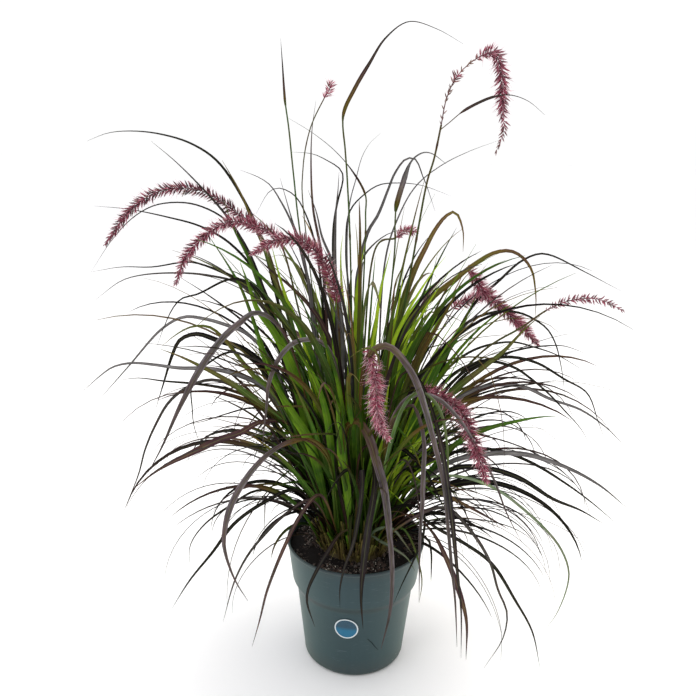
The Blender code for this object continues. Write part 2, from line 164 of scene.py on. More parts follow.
def spindle(corners, stations):
    # one closed spindle along +Z, its stations given as height and radius
    turn = 2 * math.pi * np.arange(corners) / corners
    bed = newBed()
    rings = np.array([[(r * math.cos(a), r * math.sin(a), h) for a in turn] for h, r in stations])
    addRings(bed, rings, 0, 0)
    points = np.vstack(bed["points"])
    uv = joined(np.tile(np.arange(corners) / corners, len(stations)), points[:, 2])
    return {"points": points, "faces": bed["faces"], "uv": uv, "along": np.zeros(len(points))}


def finishPiece(name, bed, surface, replaced=(), sharp=40):
    mesh = bpy.data.meshes.new(name)
    mesh.from_pydata(np.vstack(bed["points"]), [], bed["faces"])
    corner = np.empty(len(mesh.loops), np.int32)
    mesh.loops.foreach_get("vertex_index", corner)
    uv = np.vstack(bed["uv"])[corner]
    mesh.uv_layers.new(name="blade").data.foreach_set("uv", uv.ravel())
    cast = mesh.attributes.new("cast", "FLOAT_VECTOR", "POINT")
    cast.data.foreach_set("vector", np.vstack(bed["cast"]).astype(np.float32).ravel())
    mesh.shade_smooth()
    mesh.set_sharp_from_angle(angle=math.radians(sharp))
    mesh.materials.append(surface)
    piece = bpy.data.objects.new(name, mesh)
    scene.collection.objects.link(piece)
    settle(piece, replaced)


def settle(piece, replaced=()):
    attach(piece, "root")
    if replaced:
        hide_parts(*replaced)


# small helpers for surfaces

def fromHex(code):
    parts = [int(code[k:k + 2], 16) / 255 for k in (1, 3, 5)]
    return tuple(p / 12.92 if p <= 0.04045 else ((p + 0.055) / 1.055) ** 2.4 for p in parts) + (1.0,)


def addNode(tree, kind, values=None, links=None, gives=None, **settings):
    # gives back the output asked for, or else the first one in use
    node = tree.nodes.new("ShaderNode" + kind)
    for name, value in settings.items():
        setattr(node, name, value)
    for socket, value in (values or {}).items():
        node.inputs[socket].default_value = value
    for socket, source in (links or {}).items():
        tree.links.new(source, node.inputs[socket])
    return node.outputs[gives] if gives else next(socket for socket in node.outputs if socket.enabled)


def newSurface(name, **values):
    surface = bpy.data.materials.new(name)
    surface.use_nodes = True
    tree = surface.node_tree
    shader = tree.nodes["Principled BSDF"]
    for socket, value in values.items():
        shader.inputs[socket.replace("_", " ")].default_value = value
    return surface, tree, shader


def castAndPlace(tree):
    # the three parts of the cast of each blade or grain, and the place on the piece
    cast = addNode(tree, "Attribute", gives="Vector", attribute_name="cast")
    place = addNode(tree, "TexCoord", gives="Object")
    return addNode(tree, "SeparateXYZ", links={0: cast}).node.outputs, place


def blotchedRamp(tree, place, tone, colours, scale, detail, shift):
    # colours along a ramp, by a tone that soft blotches move up and down
    blotch = addNode(tree, "TexNoise", {"Scale": scale, "Detail": detail}, {"Vector": place})
    moved = addNode(tree, "MapRange", {1: 0.3, 2: 0.7, 3: -shift, 4: shift}, {0: blotch})
    tone = addNode(tree, "Math", links={0: tone, 1: moved}, operation="ADD", use_clamp=True)
    ramp = addNode(tree, "ValToRGB", links={0: tone})
    stops = ramp.node.color_ramp.elements
    while len(stops) < len(colours):
        stops.new(0.5)
    for stop, (at, colour) in zip(stops, colours):
        stop.position = at
        stop.color = fromHex(colour)
    return ramp


def dressShader(tree, shader, colour, roughness=None, relief=None):
    # roughness is its least, its most and a pattern between; relief is its strength, depth and pattern
    tree.links.new(colour, shader.inputs["Base Color"])
    if roughness:
        least, most, pattern = roughness
        rough = addNode(tree, "MapRange", {3: least, 4: most}, {0: pattern})
        tree.links.new(rough, shader.inputs["Roughness"])
    if relief:
        strength, depth, pattern = relief
        bump = addNode(tree, "Bump", {"Strength": strength, "Distance": depth}, {"Height": pattern})
        tree.links.new(bump, shader.inputs["Normal"])


# camera, found by fitting the rim and the base of the pot to the photograph

photoView = {"place": (-0.0149, -0.9116, 0.7106), "pitch": 0.2814, "roll": 0.0161, "lens": 38.09,
             "sensor": 36.0, "frame": 696}
lens = bpy.data.cameras.new("photoCamera")
lens.lens = photoView["lens"]
lens.sensor_width = photoView["sensor"]
lens.clip_start = 0.01
eye = bpy.data.objects.new("photoCamera", lens)
scene.collection.objects.link(eye)
eye.matrix_world = (Matrix.Translation(photoView["place"])
                    @ Matrix.Rotation(math.pi / 2 - photoView["pitch"], 4, "X")
                    @ Matrix.Rotation(photoView["roll"], 4, "Z"))
scene.camera = eye
eyeAxes = np.array(eye.matrix_world.to_3x3())
eyePlace = np.array(photoView["place"])
perPixel = photoView["lens"] / photoView["sensor"] * photoView["frame"]


def atPixel(px, py, depth):
    # the point seen at a pixel of the photograph, on the upright plane y = depth
    half = photoView["frame"] / 2
    ray = eyeAxes @ np.array(((px - half) / perPixel, (half - py) / perPixel, -1.0))
    return eyePlace + ray * (depth - eyePlace[1]) / ray[1]


def pixelOf(points):
    local = (np.asarray(points) - eyePlace) @ eyeAxes
    half = photoView["frame"] / 2
    return half + local[..., :2] / local[..., 2:] * (-perPixel, perPixel)


print("camera set")


# light and floor

studio = {
    "brightness": 1.28, "horizon": "#e6e6e6", "zenith": "#fdfdff", "zenithAt": 0.5,
    # the dimmer room behind the camera and above it: where it begins, where it is full, along which axis
    "room": "#9a9da0", "roomBehind": (-0.15, -0.75, 1), "roomAbove": (0.22, 0.45, 2),
    "floor": "#f9f8f7", "floorWidth": 40, "floorDrop": 0.0002,
    # place, aim, width, strength and colour of each soft light
    "lights": {
        "windowLeft": ((-1.7, -1.2, 1.5), (0, 0, 0.35), 1.6, 13, "#f6f9ff"),
        "skyAbove": ((0.5, 0.5, 2.3), (0, 0, 0.4), 1.2, 24, "#fffaf0"),
        "fillRight": ((1.9, -0.7, 0.9), (0, 0, 0.3), 1.2, 3, "#fff4e6"),
    },
}
scene.view_settings.view_transform = "Standard"
world = bpy.data.worlds.new("paleSky")
world.use_nodes = True
sky = world.node_tree
way = addNode(sky, "TexCoord", gives="Generated")
way = addNode(sky, "SeparateXYZ", links={0: way}).node.outputs
rising = addNode(sky, "MapRange", {1: 0.0, 2: studio["zenithAt"]}, {0: way[2]})
openSky = addNode(sky, "Mix", {6: fromHex(studio["horizon"]), 7: fromHex(studio["zenith"])}, {0: rising},
                  data_type="RGBA")
behind, above = [addNode(sky, "MapRange", {1: start, 2: end}, {0: way[axis]})
                 for start, end, axis in (studio["roomBehind"], studio["roomAbove"])]
dim = addNode(sky, "Math", links={0: behind, 1: above}, operation="MULTIPLY")
roomLight = addNode(sky, "Mix", {7: fromHex(studio["room"])}, {0: dim, 6: openSky}, data_type="RGBA")
background = sky.nodes["Background"]
sky.links.new(roomLight, background.inputs["Color"])
background.inputs["Strength"].default_value = studio["brightness"]
scene.world = world
for name, (place, aim, width, strength, colour) in studio["lights"].items():
    lamp = bpy.data.lights.new(name, "AREA")
    lamp.shape = "DISK"
    lamp.size = width
    lamp.energy = strength
    lamp.color = fromHex(colour)[:3]
    holder = bpy.data.objects.new(name, lamp)
    scene.collection.objects.link(holder)
    toward = Vector(aim) - Vector(place)
    holder.matrix_world = Matrix.Translation(place) @ toward.to_track_quat("-Z", "Y").to_matrix().to_4x4()
bpy.ops.object.select_all(action="DESELECT")
bpy.ops.mesh.primitive_plane_add(size=studio["floorWidth"], location=(0, 0, -studio["floorDrop"]))
floor = bpy.context.object
floor.name = "paleFloor"
bpy.ops.object.transform_apply(location=True, rotation=True, scale=True)
paper = newSurface("matt paper sweep", Base_Color=fromHex(studio["floor"]), Roughness=0.9)[0]
floor.data.materials.append(paper)
print("studio set")


# pot: polypropylene, injection moulded, satin with a slate tint

potShape = {
    "sides": 120, "height": 0.175, "rimRadius": 0.095, "rimBead": 0.0035, "rimStep": 0.0014,
    "collarRadius": 0.0874, "collarHeight": 0.1210, "bodyRadius": 0.0808, "bodyHeight": 0.1050,
    "baseRadius": 0.0695, "baseRounding": 0.006, "wall": 0.0018, "floor": 0.0025, "middle": 0.030,
    # the shallow hollow underneath, by radius and height, and how softly the collar leaves body and rim
    "hollow": ((0.020, 0.0012), (0.055, 0.0012), (0.0565, 0.0)), "swell": (0.108, 0.125),
    # the bead of the rim: how far in it lies, and how far below the top
    "bead": ((0.0, 0.0007), (0.0003, 0.0002), (0.0008, 0.0), (0.0024, 0.0), (0.0029, 0.0004)),
}
# green is a painted sheen laid on where the wall turns away at grazing angles
# shade is painted shade on the swell under the collar
potLook = {"slate": "#142731", "pale": "#243b46", "green": "#51675f", "shade": "#131e22",
           "dust": "#55493f", "scuff": "#66747a", "drops": "#9fa9a8", "roughness": 0.42}


def turnProfile(name, sides, profile):
    # a disc, extruded and resized from each height of the profile to the next
    bpy.ops.object.select_all(action="DESELECT")
    radius, height = profile[0]
    bpy.ops.mesh.primitive_circle_add(vertices=sides, radius=radius, fill_type="NGON",
                                      location=(0, 0, height))
    piece = bpy.context.object
    piece.name = name
    bpy.ops.object.mode_set(mode="EDIT")
    bpy.ops.mesh.select_all(action="SELECT")
    for wide, high in profile[1:]:
        bpy.ops.mesh.extrude_region_move(TRANSFORM_OT_translate={"value": (0, 0, high - height)})
        bpy.ops.transform.resize(value=(wide / radius, wide / radius, 1), center_override=(0, 0, high))
        radius, height = wide, high
    bpy.ops.mesh.select_all(action="SELECT")
    bpy.ops.mesh.normals_make_consistent(inside=False)
    bpy.ops.object.mode_set(mode="OBJECT")
    bpy.ops.object.transform_apply(location=True, rotation=True, scale=True)
    bpy.ops.object.shade_smooth_by_angle(angle=math.radians(34))
    return piece


def bodyRadius(height):
    shape = potShape
    return shape["baseRadius"] + (shape["bodyRadius"] - shape["baseRadius"]) * height / shape["bodyHeight"]


def potOutline():
    # radius and height: under the base, up the outside, over the rim and down the inside
    shape = potShape
    rim, top, wall, rounding = shape["rimRadius"], shape["height"], shape["wall"], shape["baseRounding"]
    line = list(shape["hollow"])
    foot = bodyRadius(rounding) - rounding
    for k in range(9):
        turn = math.radians(90 * k / 8)
        line.append((foot + rounding * math.sin(turn), rounding * (1 - math.cos(turn))))
    tall = shape["collarHeight"] - shape["bodyHeight"]
    leaves, meets = shape["swell"]
    for k in range(13):  # the collar swells out in a soft double curve, with no edge at its ends
        part = k / 12
        swell = part * part * (3 - 2 * part)
        ease = leaves * tall * part * (1 - part) ** 2 - meets * tall * part * part * (1 - part)
        line.append((shape["bodyRadius"] + (shape["collarRadius"] - shape["bodyRadius"]) * swell + ease,
                     shape["bodyHeight"] + tall * part))
    bead = top - shape["rimBead"]
    line += [(rim - shape["rimStep"], bead - 0.0008), (rim - 0.0003, bead - 0.0001), (rim, bead + 0.0004)]
    line += [(rim - inward, top - down) for inward, down in shape["bead"]]
    return line + [(rim - shape["rimStep"] - wall, bead),
                   (shape["collarRadius"] - wall, shape["collarHeight"]),
                   (shape["bodyRadius"] - wall, shape["bodyHeight"]),
                   (bodyRadius(rounding) - wall, rounding + shape["floor"]),
                   (bodyRadius(rounding) - wall - rounding / 2, shape["floor"]),
                   (shape["middle"], shape["floor"])]


def pottedPlastic():
    # satin polypropylene: a soft broad sheen with a painted grey-green sheen where the wall turns away, faint
    # flow marks, scuffs and dried spots of water
    look = potLook
    surface, tree, shader = newSurface("polypropylene moulded satin", IOR=1.49, Specular_IOR_Level=0.28)
    place = addNode(tree, "TexCoord", gives="Object")
    height = addNode(tree, "SeparateXYZ", links={0: place}).node.outputs[2]
    # painted sheen: grey-green over the wall where it turns away from the view
    grazingSheen = addNode(tree, "LayerWeight", {"Blend": 0.35}, gives="Facing")
    # clouds, patches of water spots, grit in the dust, and the eroded grain of the mould, which is about a
    # third of a millimetre and drawn at one
    noises = ((16.0, 3.0), (22.0, 2.0), (240.0, 3.0), (900.0, 2.0))
    cloud, patch, grit, grain = [addNode(tree, "TexNoise", {"Scale": scale, "Detail": detail},
                                         {"Vector": place}) for scale, detail in noises]
    # flow marks run up the wall, scuffs lie aslant
    upright = addNode(tree, "Mapping", {"Scale": (160.0, 160.0, 9.0)}, {"Vector": place})
    aslant = addNode(tree, "Mapping", {"Scale": (60.0, 60.0, 900.0), "Rotation": (0.5, 0.3, 0.0)},
                     {"Vector": place})
    flow = addNode(tree, "TexNoise", {"Scale": 1.0, "Detail": 4.0}, {"Vector": upright})
    scratch = addNode(tree, "TexNoise", {"Scale": 1.0, "Detail": 2.0}, {"Vector": aslant})
    # what each mark comes from, where it begins, where it is full and how strong it is there: scuffs, dried
    # water spots of about a millimetre, peat dust under the rim and about the foot, and painted shade on the
    # swell under the collar, darkened so that it doesn't catch the floor as a pale line
    marks = {"worn": (scratch, 0.66, 0.74, 0.35), "spotSize": (patch, 0.60, 0.78, 0.11),
             "nearRim": (height, 0.160, 0.176, 0.40), "nearFoot": (height, 0.030, 0.0, 0.45),
             "swellShadeUp": (height, 0.1050, 0.1110, 0.62), "swellShadeDown": (height, 0.1210, 0.1150, 0.62)}
    mark = {name: addNode(tree, "MapRange", {1: start, 2: end, 4: most}, {0: pattern})
            for name, (pattern, start, end, most) in marks.items()}
    spots = addNode(tree, "TexVoronoi", {"Scale": 75.0}, {"Vector": place})
    spot = addNode(tree, "Math", links={0: spots, 1: mark["spotSize"]}, operation="LESS_THAN")
    # painted shade on the swell under the collar
    swell = addNode(tree, "Math", links={0: mark["swellShadeUp"], 1: mark["swellShadeDown"]}, operation="MINIMUM")
    dusty = addNode(tree, "Math", links={0: mark["nearRim"], 1: mark["nearFoot"]}, operation="MAXIMUM")
    dusty = addNode(tree, "Math", links={0: dusty, 1: grit}, operation="MULTIPLY")
    mixed = addNode(tree, "Math", {1: 0.6}, {0: cloud}, operation="MULTIPLY")
    mixed = addNode(tree, "Math", {1: 0.4}, {0: flow, 2: mixed}, operation="MULTIPLY_ADD")
    tone = addNode(tree, "Mix", {6: fromHex(look["slate"]), 7: fromHex(look["pale"])}, {0: mixed},
                   data_type="RGBA")
    for colour, share in (("green", grazingSheen), ("scuff", mark["worn"]), ("drops", spot), ("shade", swell),
                          ("dust", dusty)):
        tone = addNode(tree, "Mix", {7: fromHex(look[colour])}, {0: share, 6: tone}, data_type="RGBA")
    dressShader(tree, shader, tone, (look["roughness"] - 0.06, look["roughness"] + 0.10, cloud),
                (0.10, 0.0004, grain))
    return surface


pot = turnProfile("nurseryPot", potShape["sides"], potOutline())
pot.data.materials.append(pottedPlastic())
settle(pot, ["pot"])
print("pot turned")


# label: printed polypropylene film with a gloss varnish, plain

labelShape = {"radius": 0.0163, "gap": 0.0003, "thick": 0.0005, "height": 0.0825, "azimuth": 261.8,
              "sides": 72}
# a greyer blue above and a clearer one below, with pale specks; the ring and the edge start at these parts
# of the label's width
labelLook = {"above": "#1f4153", "below": "#0a6182", "specks": "#5b93ad", "ring": "#c9d2d4",
             "edge": "#2d3b40", "ringFrom": 0.435, "edgeFrom": 0.486, "roughness": (0.28, 0.44)}


def wrapLabel():
    shape = labelShape
    radius, low, high = shape["radius"], shape["gap"], shape["gap"] + shape["thick"]
    line = [(radius * share, low) for share in (0.15, 0.4, 0.7, 1.0)]
    line += [(radius, high - 0.0001), (radius - 0.0001, high)]
    line += [(radius * share, high) for share in (0.85, 0.6, 0.35, 0.12)]
    disc = turnProfile("roundLabel", shape["sides"], line)
    middle = math.radians(shape["azimuth"])
    layer = disc.data.uv_layers.active or disc.data.uv_layers.new(name="disc")
    for loop in disc.data.loops:
        flat = disc.data.vertices[loop.vertex_index].co
        layer.data[loop.index].uv = (0.5 + flat.x / radius / 2, 0.5 + flat.y / radius / 2)
    for corner in disc.data.vertices:
        across, up, lift = corner.co
        height = shape["height"] + up
        wall = bodyRadius(height)
        turn = middle + across / wall
        corner.co = ((wall + lift) * math.cos(turn), (wall + lift) * math.sin(turn), height)
    return disc


def labelFilm(layer):
    # printed film under a thin gloss, slightly uneven
    look = labelLook
    surface, tree, shader = newSurface("polypropylene film printed and varnished", IOR=1.5,
                                       Specular_IOR_Level=0.30, Coat_Weight=0.15, Coat_Roughness=0.2)
    flat = addNode(tree, "UVMap", uv_map=layer)
    centred = addNode(tree, "VectorMath", {1: (0.5, 0.5, 0.0)}, {0: flat}, operation="SUBTRACT")
    out = addNode(tree, "VectorMath", links={0: centred}, gives="Value", operation="LENGTH")
    up = addNode(tree, "SeparateXYZ", links={0: centred}).node.outputs[1]
    place = addNode(tree, "TexCoord", gives="Object")
    speck = addNode(tree, "TexNoise", {"Scale": 900.0, "Detail": 3.0}, {"Vector": place})
    down = addNode(tree, "MapRange", {1: 0.08, 2: -0.10}, {0: up})
    patchy = addNode(tree, "MapRange", {1: 0.35, 2: 0.75, 4: 0.10}, {0: speck})
    inRing, atEdge = [addNode(tree, "Math", {1: look[start]}, {0: out}, operation="GREATER_THAN")
                      for start in ("ringFrom", "edgeFrom")]
    tone = addNode(tree, "Mix", {6: fromHex(look["above"]), 7: fromHex(look["below"])}, {0: down},
                   data_type="RGBA")
    for colour, share in (("specks", patchy), ("ring", inRing), ("edge", atEdge)):
        tone = addNode(tree, "Mix", {7: fromHex(look[colour])}, {0: share, 6: tone}, data_type="RGBA")
    dressShader(tree, shader, tone, (*look["roughness"], speck))
    return surface


wrapped = wrapLabel()
wrapped.data.materials.append(labelFilm(wrapped.data.uv_layers.active.name))
settle(wrapped, ["label"])
print("label wrapped")


# soil: damp peat with coarse crumbs, fibres and a few white grains

soilLook = {"peat": "#16110f", "brown": "#5c463c", "grey": "#6f6861", "bed": "#2c211b",
            "perlite": ("#8d867a", "#c9c2b6", "#efe9df"), "top": 0.1630, "reach": 0.0890,
            # crumbs by their least radius and how much more; fibres by half their width and length
            "crumbs": 5200, "crumbSize": (0.0008, 0.0024), "grains": 620, "grainSize": (0.0004, 0.0012),
            "fibres": 620, "fibreWidth": 0.00026, "fibreLength": (0.0015, 0.0070)}


def soilSurface(name, dark, light, extra, sheen):
    # crumbs differ from one to the next, damp and dull, with a rough broken face
    surface, tree, shader = newSurface(name, IOR=1.45, Roughness=0.85, Specular_IOR_Level=sheen)
    each, place = castAndPlace(tree)
    fine = addNode(tree, "TexNoise", {"Scale": 700.0, "Detail": 4.0}, {"Vector": place})
    wide = addNode(tree, "TexNoise", {"Scale": 45.0, "Detail": 2.0}, {"Vector": place})
    tone = addNode(tree, "Math", links={0: fine, 1: each[1]}, operation="MULTIPLY")
    ashen = addNode(tree, "Math", links={0: wide, 1: each[2]}, operation="MULTIPLY")
    tone = addNode(tree, "Mix", {6: fromHex(dark), 7: fromHex(light)}, {0: tone}, data_type="RGBA")
    tone = addNode(tree, "Mix", {7: fromHex(extra)}, {0: ashen, 6: tone}, data_type="RGBA")
    dressShader(tree, shader, tone, relief=(0.6, 0.001, fine))
    return surface


def randomTurns(count):
    # even random turns from random quaternions
    q = chance.normal(size=(count, 4))
    q /= np.linalg.norm(q, axis=1)[:, None]
    w, x, y, z = q.T
    return np.stack([joined(1 - 2 * (y * y + z * z), 2 * (x * y - z * w), 2 * (x * z + y * w)),
                     joined(2 * (x * y + z * w), 1 - 2 * (x * x + z * z), 2 * (y * z - x * w)),
                     joined(2 * (x * z - y * w), 2 * (y * z + x * w), 1 - 2 * (x * x + y * y))], axis=1)


def aimTurns(ways, sizes, lengths):
    # turns that send +Z along each way, with a width and a length of their own
    ways = ways / np.linalg.norm(ways, axis=1)[:, None]
    helper = np.where(np.abs(ways[:, 2:3]) > 0.9, (1.0, 0.0, 0.0), (0.0, 0.0, 1.0))
    side = np.cross(helper, ways)
    side /= np.linalg.norm(side, axis=1)[:, None]
    other = np.cross(ways, side)
    return joined(side * sizes[:, None], other * sizes[:, None], ways * lengths[:, None])


def crumbPlaces(count, inner=0.0, lift=0.0):
    radius = np.sqrt(chance.uniform(inner ** 2, soilLook["reach"] ** 2, count))
    azimuth = chance.uniform(0, 2 * math.pi, count)
    heap = 0.0016 * np.sin(3 * azimuth + radius * 90) + 0.0012 * np.sin(7 * azimuth - radius * 130)
    return onRing(radius, azimuth, soilLook["top"] + heap + lift)


def layCrumbs():
    look = soilLook
    bed = newBed()
    lump = spindle(5, ((-0.9, 0.35), (-0.35, 0.95), (0.35, 0.85), (0.85, 0.40)))
    count = look["crumbs"]
    places = crumbPlaces(count)
    size = look["crumbSize"][0] + look["crumbSize"][1] * chance.random(count) ** 2.4
    turns = randomTurns(count) * (size[:, None, None] * chance.uniform(0.65, 1.25, (count, 1, 3)))
    places[:, 2] += size * chance.uniform(-0.3, 0.9, count)
    casts = joined(0, chance.random(count) ** 1.5 * 1.6, chance.random(count) ** 4 * 1.3)
    scatterShape(bed, lump, turns, places, casts)
    thread = spindle(3, ((-1.0, 0.6), (0.0, 1.0), (1.0, 0.4)))
    count = look["fibres"]
    flat = chance.uniform(0, 2 * math.pi, count)
    ways = onRing(1.0, flat, chance.normal(0, 0.25, count))
    turns = aimTurns(ways, np.full(count, look["fibreWidth"]), chance.uniform(*look["fibreLength"], count))
    casts = joined(0, 1.7, chance.uniform(0.6, 1.6, count))
    scatterShape(bed, thread, turns, crumbPlaces(count, 0.040, 0.0022), casts)
    peat = soilSurface("damp peat crumbs", look["peat"], look["brown"], look["grey"], 0.35)
    finishPiece("peatCrumbs", bed, peat, sharp=60)
    bed = newBed()
    count = look["grains"]
    size = chance.uniform(*look["grainSize"], count)
    turns = randomTurns(count) * (size[:, None, None] * chance.uniform(0.7, 1.2, (count, 1, 3)))
    casts = joined(0, chance.uniform(0.8, 1.6, count), 0)
    scatterShape(bed, lump, turns, crumbPlaces(count, 0.050, 0.0016), casts)
    finishPiece("whiteGrains", bed, soilSurface("expanded perlite grains", *look["perlite"], 0.3),
                sharp=60)


def fillSoil():
    # the bed fills the pot to just inside its wall
    shape, colours = potShape, (soilLook["peat"], soilLook["bed"], soilLook["bed"])
    rounding, gap, low = shape["baseRounding"], shape["wall"] + 0.0004, shape["floor"] + 0.0004
    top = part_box("potting_soil")[1][2]
    collarTop = shape["height"] - shape["rimBead"]
    rise = (top - shape["collarHeight"]) / (collarTop - shape["collarHeight"])
    wallTop = shape["rimRadius"] - shape["rimStep"]
    edge = shape["collarRadius"] + (wallTop - shape["collarRadius"]) * rise - gap
    line = [(shape["middle"], low), (bodyRadius(rounding) - gap - rounding / 2, low),
            (bodyRadius(rounding) - gap, rounding + shape["floor"]),
            (shape["bodyRadius"] - gap, shape["bodyHeight"]),
            (shape["collarRadius"] - gap, shape["collarHeight"]),
            (edge, top - 0.0010), (edge - 0.0030, top), (0.050, top)]
    bed = turnProfile("peatBed", 96, line)
    bed.data.materials.append(soilSurface("damp peat bed", *colours, 0.2))
    settle(bed, ["potting_soil"])


fillSoil()
layCrumbs()
print("soil laid")


# grass surfaces: living leaves, stems and dry bases, coloured by the cast of each blade
# cast x: from green, 0, to dark purple, 1; cast y: grey-lilac bloom, on the leaves a painted sheen; cast z:
# how light it is, painted shade and highlight included

leafLook = {
    "ramp": ((0.0, "#9cb52a"), (0.14, "#6c9020"), (0.29, "#385e16"), (0.44, "#495017"), (0.60, "#56401b"),
             (0.74, "#402427"), (0.88, "#201314"), (1.0, "#0f090a")),
    # the bloom colour is a painted sheen, laid on by cast y
    "bloom": "#bebabb", "rib": "#87914c", "veins": 7, "roughness": 0.42, "gloss": 0.06, "ior": 1.42,
}
strawLook = {
    "ramp": ((0.0, "#93934a"), (0.35, "#7a6f3a"), (0.7, "#5d4a2e"), (1.0, "#34261c")),
    "bloom": "#b09a6c", "rib": "#a89a62", "veins": 9, "roughness": 0.65, "gloss": 0.12, "ior": 1.45,
}


def grassSurface(name, look):
    # long veins lighter and darker by turns, a paler midrib, and a bloom rubbed thin in long patches, which
    # on the leaves is a painted sheen
    surface, tree, shader = newSurface(name, IOR=look["ior"], Specular_IOR_Level=look["gloss"])
    each, place = castAndPlace(tree)
    flat = addNode(tree, "UVMap", uv_map="blade")
    across = addNode(tree, "SeparateXYZ", links={0: flat}).node.outputs[0]
    # blotches of about 30 mm move the change from green to purple along the blade
    tone = blotchedRamp(tree, place, each[0], look["ramp"], 32.0, 2.0, 0.08)
    wave = addNode(tree, "Math", {1: 2 * math.pi * look["veins"]}, {0: across}, operation="MULTIPLY")
    wave = addNode(tree, "Math", links={0: wave}, operation="SINE")
    streak = addNode(tree, "Mapping", {"Scale": (8.0, 5.0, 1.0)}, {"Vector": flat})
    streak = addNode(tree, "TexNoise", {"Scale": 1.0, "Detail": 2.0}, {"Vector": streak})
    veins = addNode(tree, "Math", {1: 0.5}, {0: wave, 2: streak}, operation="MULTIPLY_ADD")
    light = addNode(tree, "MapRange", {1: -0.2, 2: 1.2, 3: 0.82, 4: 1.18}, {0: veins})
    light = addNode(tree, "Math", links={0: light, 1: each[2]}, operation="MULTIPLY")
    fromRib = addNode(tree, "Math", {1: 0.5}, {0: across}, operation="SUBTRACT")
    fromRib = addNode(tree, "Math", links={0: fromRib}, operation="ABSOLUTE")
    rib = addNode(tree, "MapRange", {1: 0.03, 2: 0.10, 3: 0.20, 4: 0.0}, {0: fromRib})
    rubbed = addNode(tree, "MapRange", {1: 0.32, 2: 0.68, 3: 0.30, 4: 1.15}, {0: streak})
    bloomSheen = addNode(tree, "Math", links={0: each[1], 1: rubbed}, operation="MULTIPLY", use_clamp=True)
    for colour, share in (("rib", rib), ("bloom", bloomSheen)):
        tone = addNode(tree, "Mix", {7: fromHex(look[colour])}, {0: share, 6: tone}, data_type="RGBA")
    lit = addNode(tree, "VectorMath", links={0: tone, "Scale": light}, operation="SCALE")
    dressShader(tree, shader, lit, (look["roughness"] - 0.08, look["roughness"] + 0.12, streak),
                (0.25, 0.0003, veins))
    return surface


leafSurface = grassSurface("living grass leaf with a waxy cuticle", leafLook)
strawSurface = grassSurface("dry grass sheaths, fibrous", strawLook)

# where a blade starts and ends between green and purple, where it turns, its bloom (a painted sheen) and how
# light it is
bladeStyles = {
    # bright: deep green at the foot to yellow-green at the tip, painted shade low down and painted light
    # where sun shines through
    "bright": (0.24, 0.05, 0.28, 0.00, 1.14),
    "vivid": (0.29, 0.20, 0.30, 0.00, 1.05),
    "green": (0.28, 0.33, 0.70, 0.02, 1.00),
    "olive": (0.32, 0.52, 0.70, 0.06, 1.12),
    "rust": (0.34, 0.60, 0.60, 0.04, 1.30),
    "faded": (0.24, 0.40, 0.60, 0.40, 1.05),
    "purple": (0.44, 0.90, 0.32, 0.12, 0.76),
    "maroon": (0.50, 0.76, 0.25, 0.06, 1.05),
    "dark": (0.58, 1.00, 0.24, 0.04, 0.62),
    "lilac": (0.32, 0.80, 0.38, 0.85, 0.95),
    "ash": (0.46, 0.92, 0.22, 0.50, 0.82),
    "flag": (0.60, 0.88, 0.30, 0.06, 0.95),
}
# the keel; the sun that turns loose leaves purple, by distance from the middle and height; painted shade in
# the heart
bladeHabit = {"skin": 0.00022, "keel": 0.10, "sunFrom": 0.10, "sunOver": 0.09, "sunBelow": 0.55,
              "sunFade": 0.14, "sunTone": 0.88, "heartTop": 0.17, "heartOver": 0.20, "heartWide": 0.07,
              "heartEdge": 0.09, "heartShade": 0.62}


def bladeOutline(share):
    # share of the full width: grows out of the sheath, stays, then narrows to a fine point
    grow = 0.42 + 0.58 * np.minimum(share / 0.40, 1.0)
    taper = np.clip((1.0 - share) / 0.58, 0.0, 1.0)
    return grow * (0.03 + 0.97 * taper ** 0.68)


def turnToView(line, side):
    # the roll that shows the flat of a blade where the photograph shows it, eased in from the foot
    ways, across, up = railsOf(line, side)
    wanted = np.cross(ways, np.array(photoView["place"]) - line)
    angle = np.arctan2((wanted * up).sum(axis=1), (wanted * across).sum(axis=1))
    angle = np.unwrap(angle, period=math.pi)
    angle -= math.pi * np.round(np.median(angle) / math.pi)
    share = np.linspace(0, 1, len(line))
    return angle * np.clip(share / 0.22, 0, 1) * 0.88


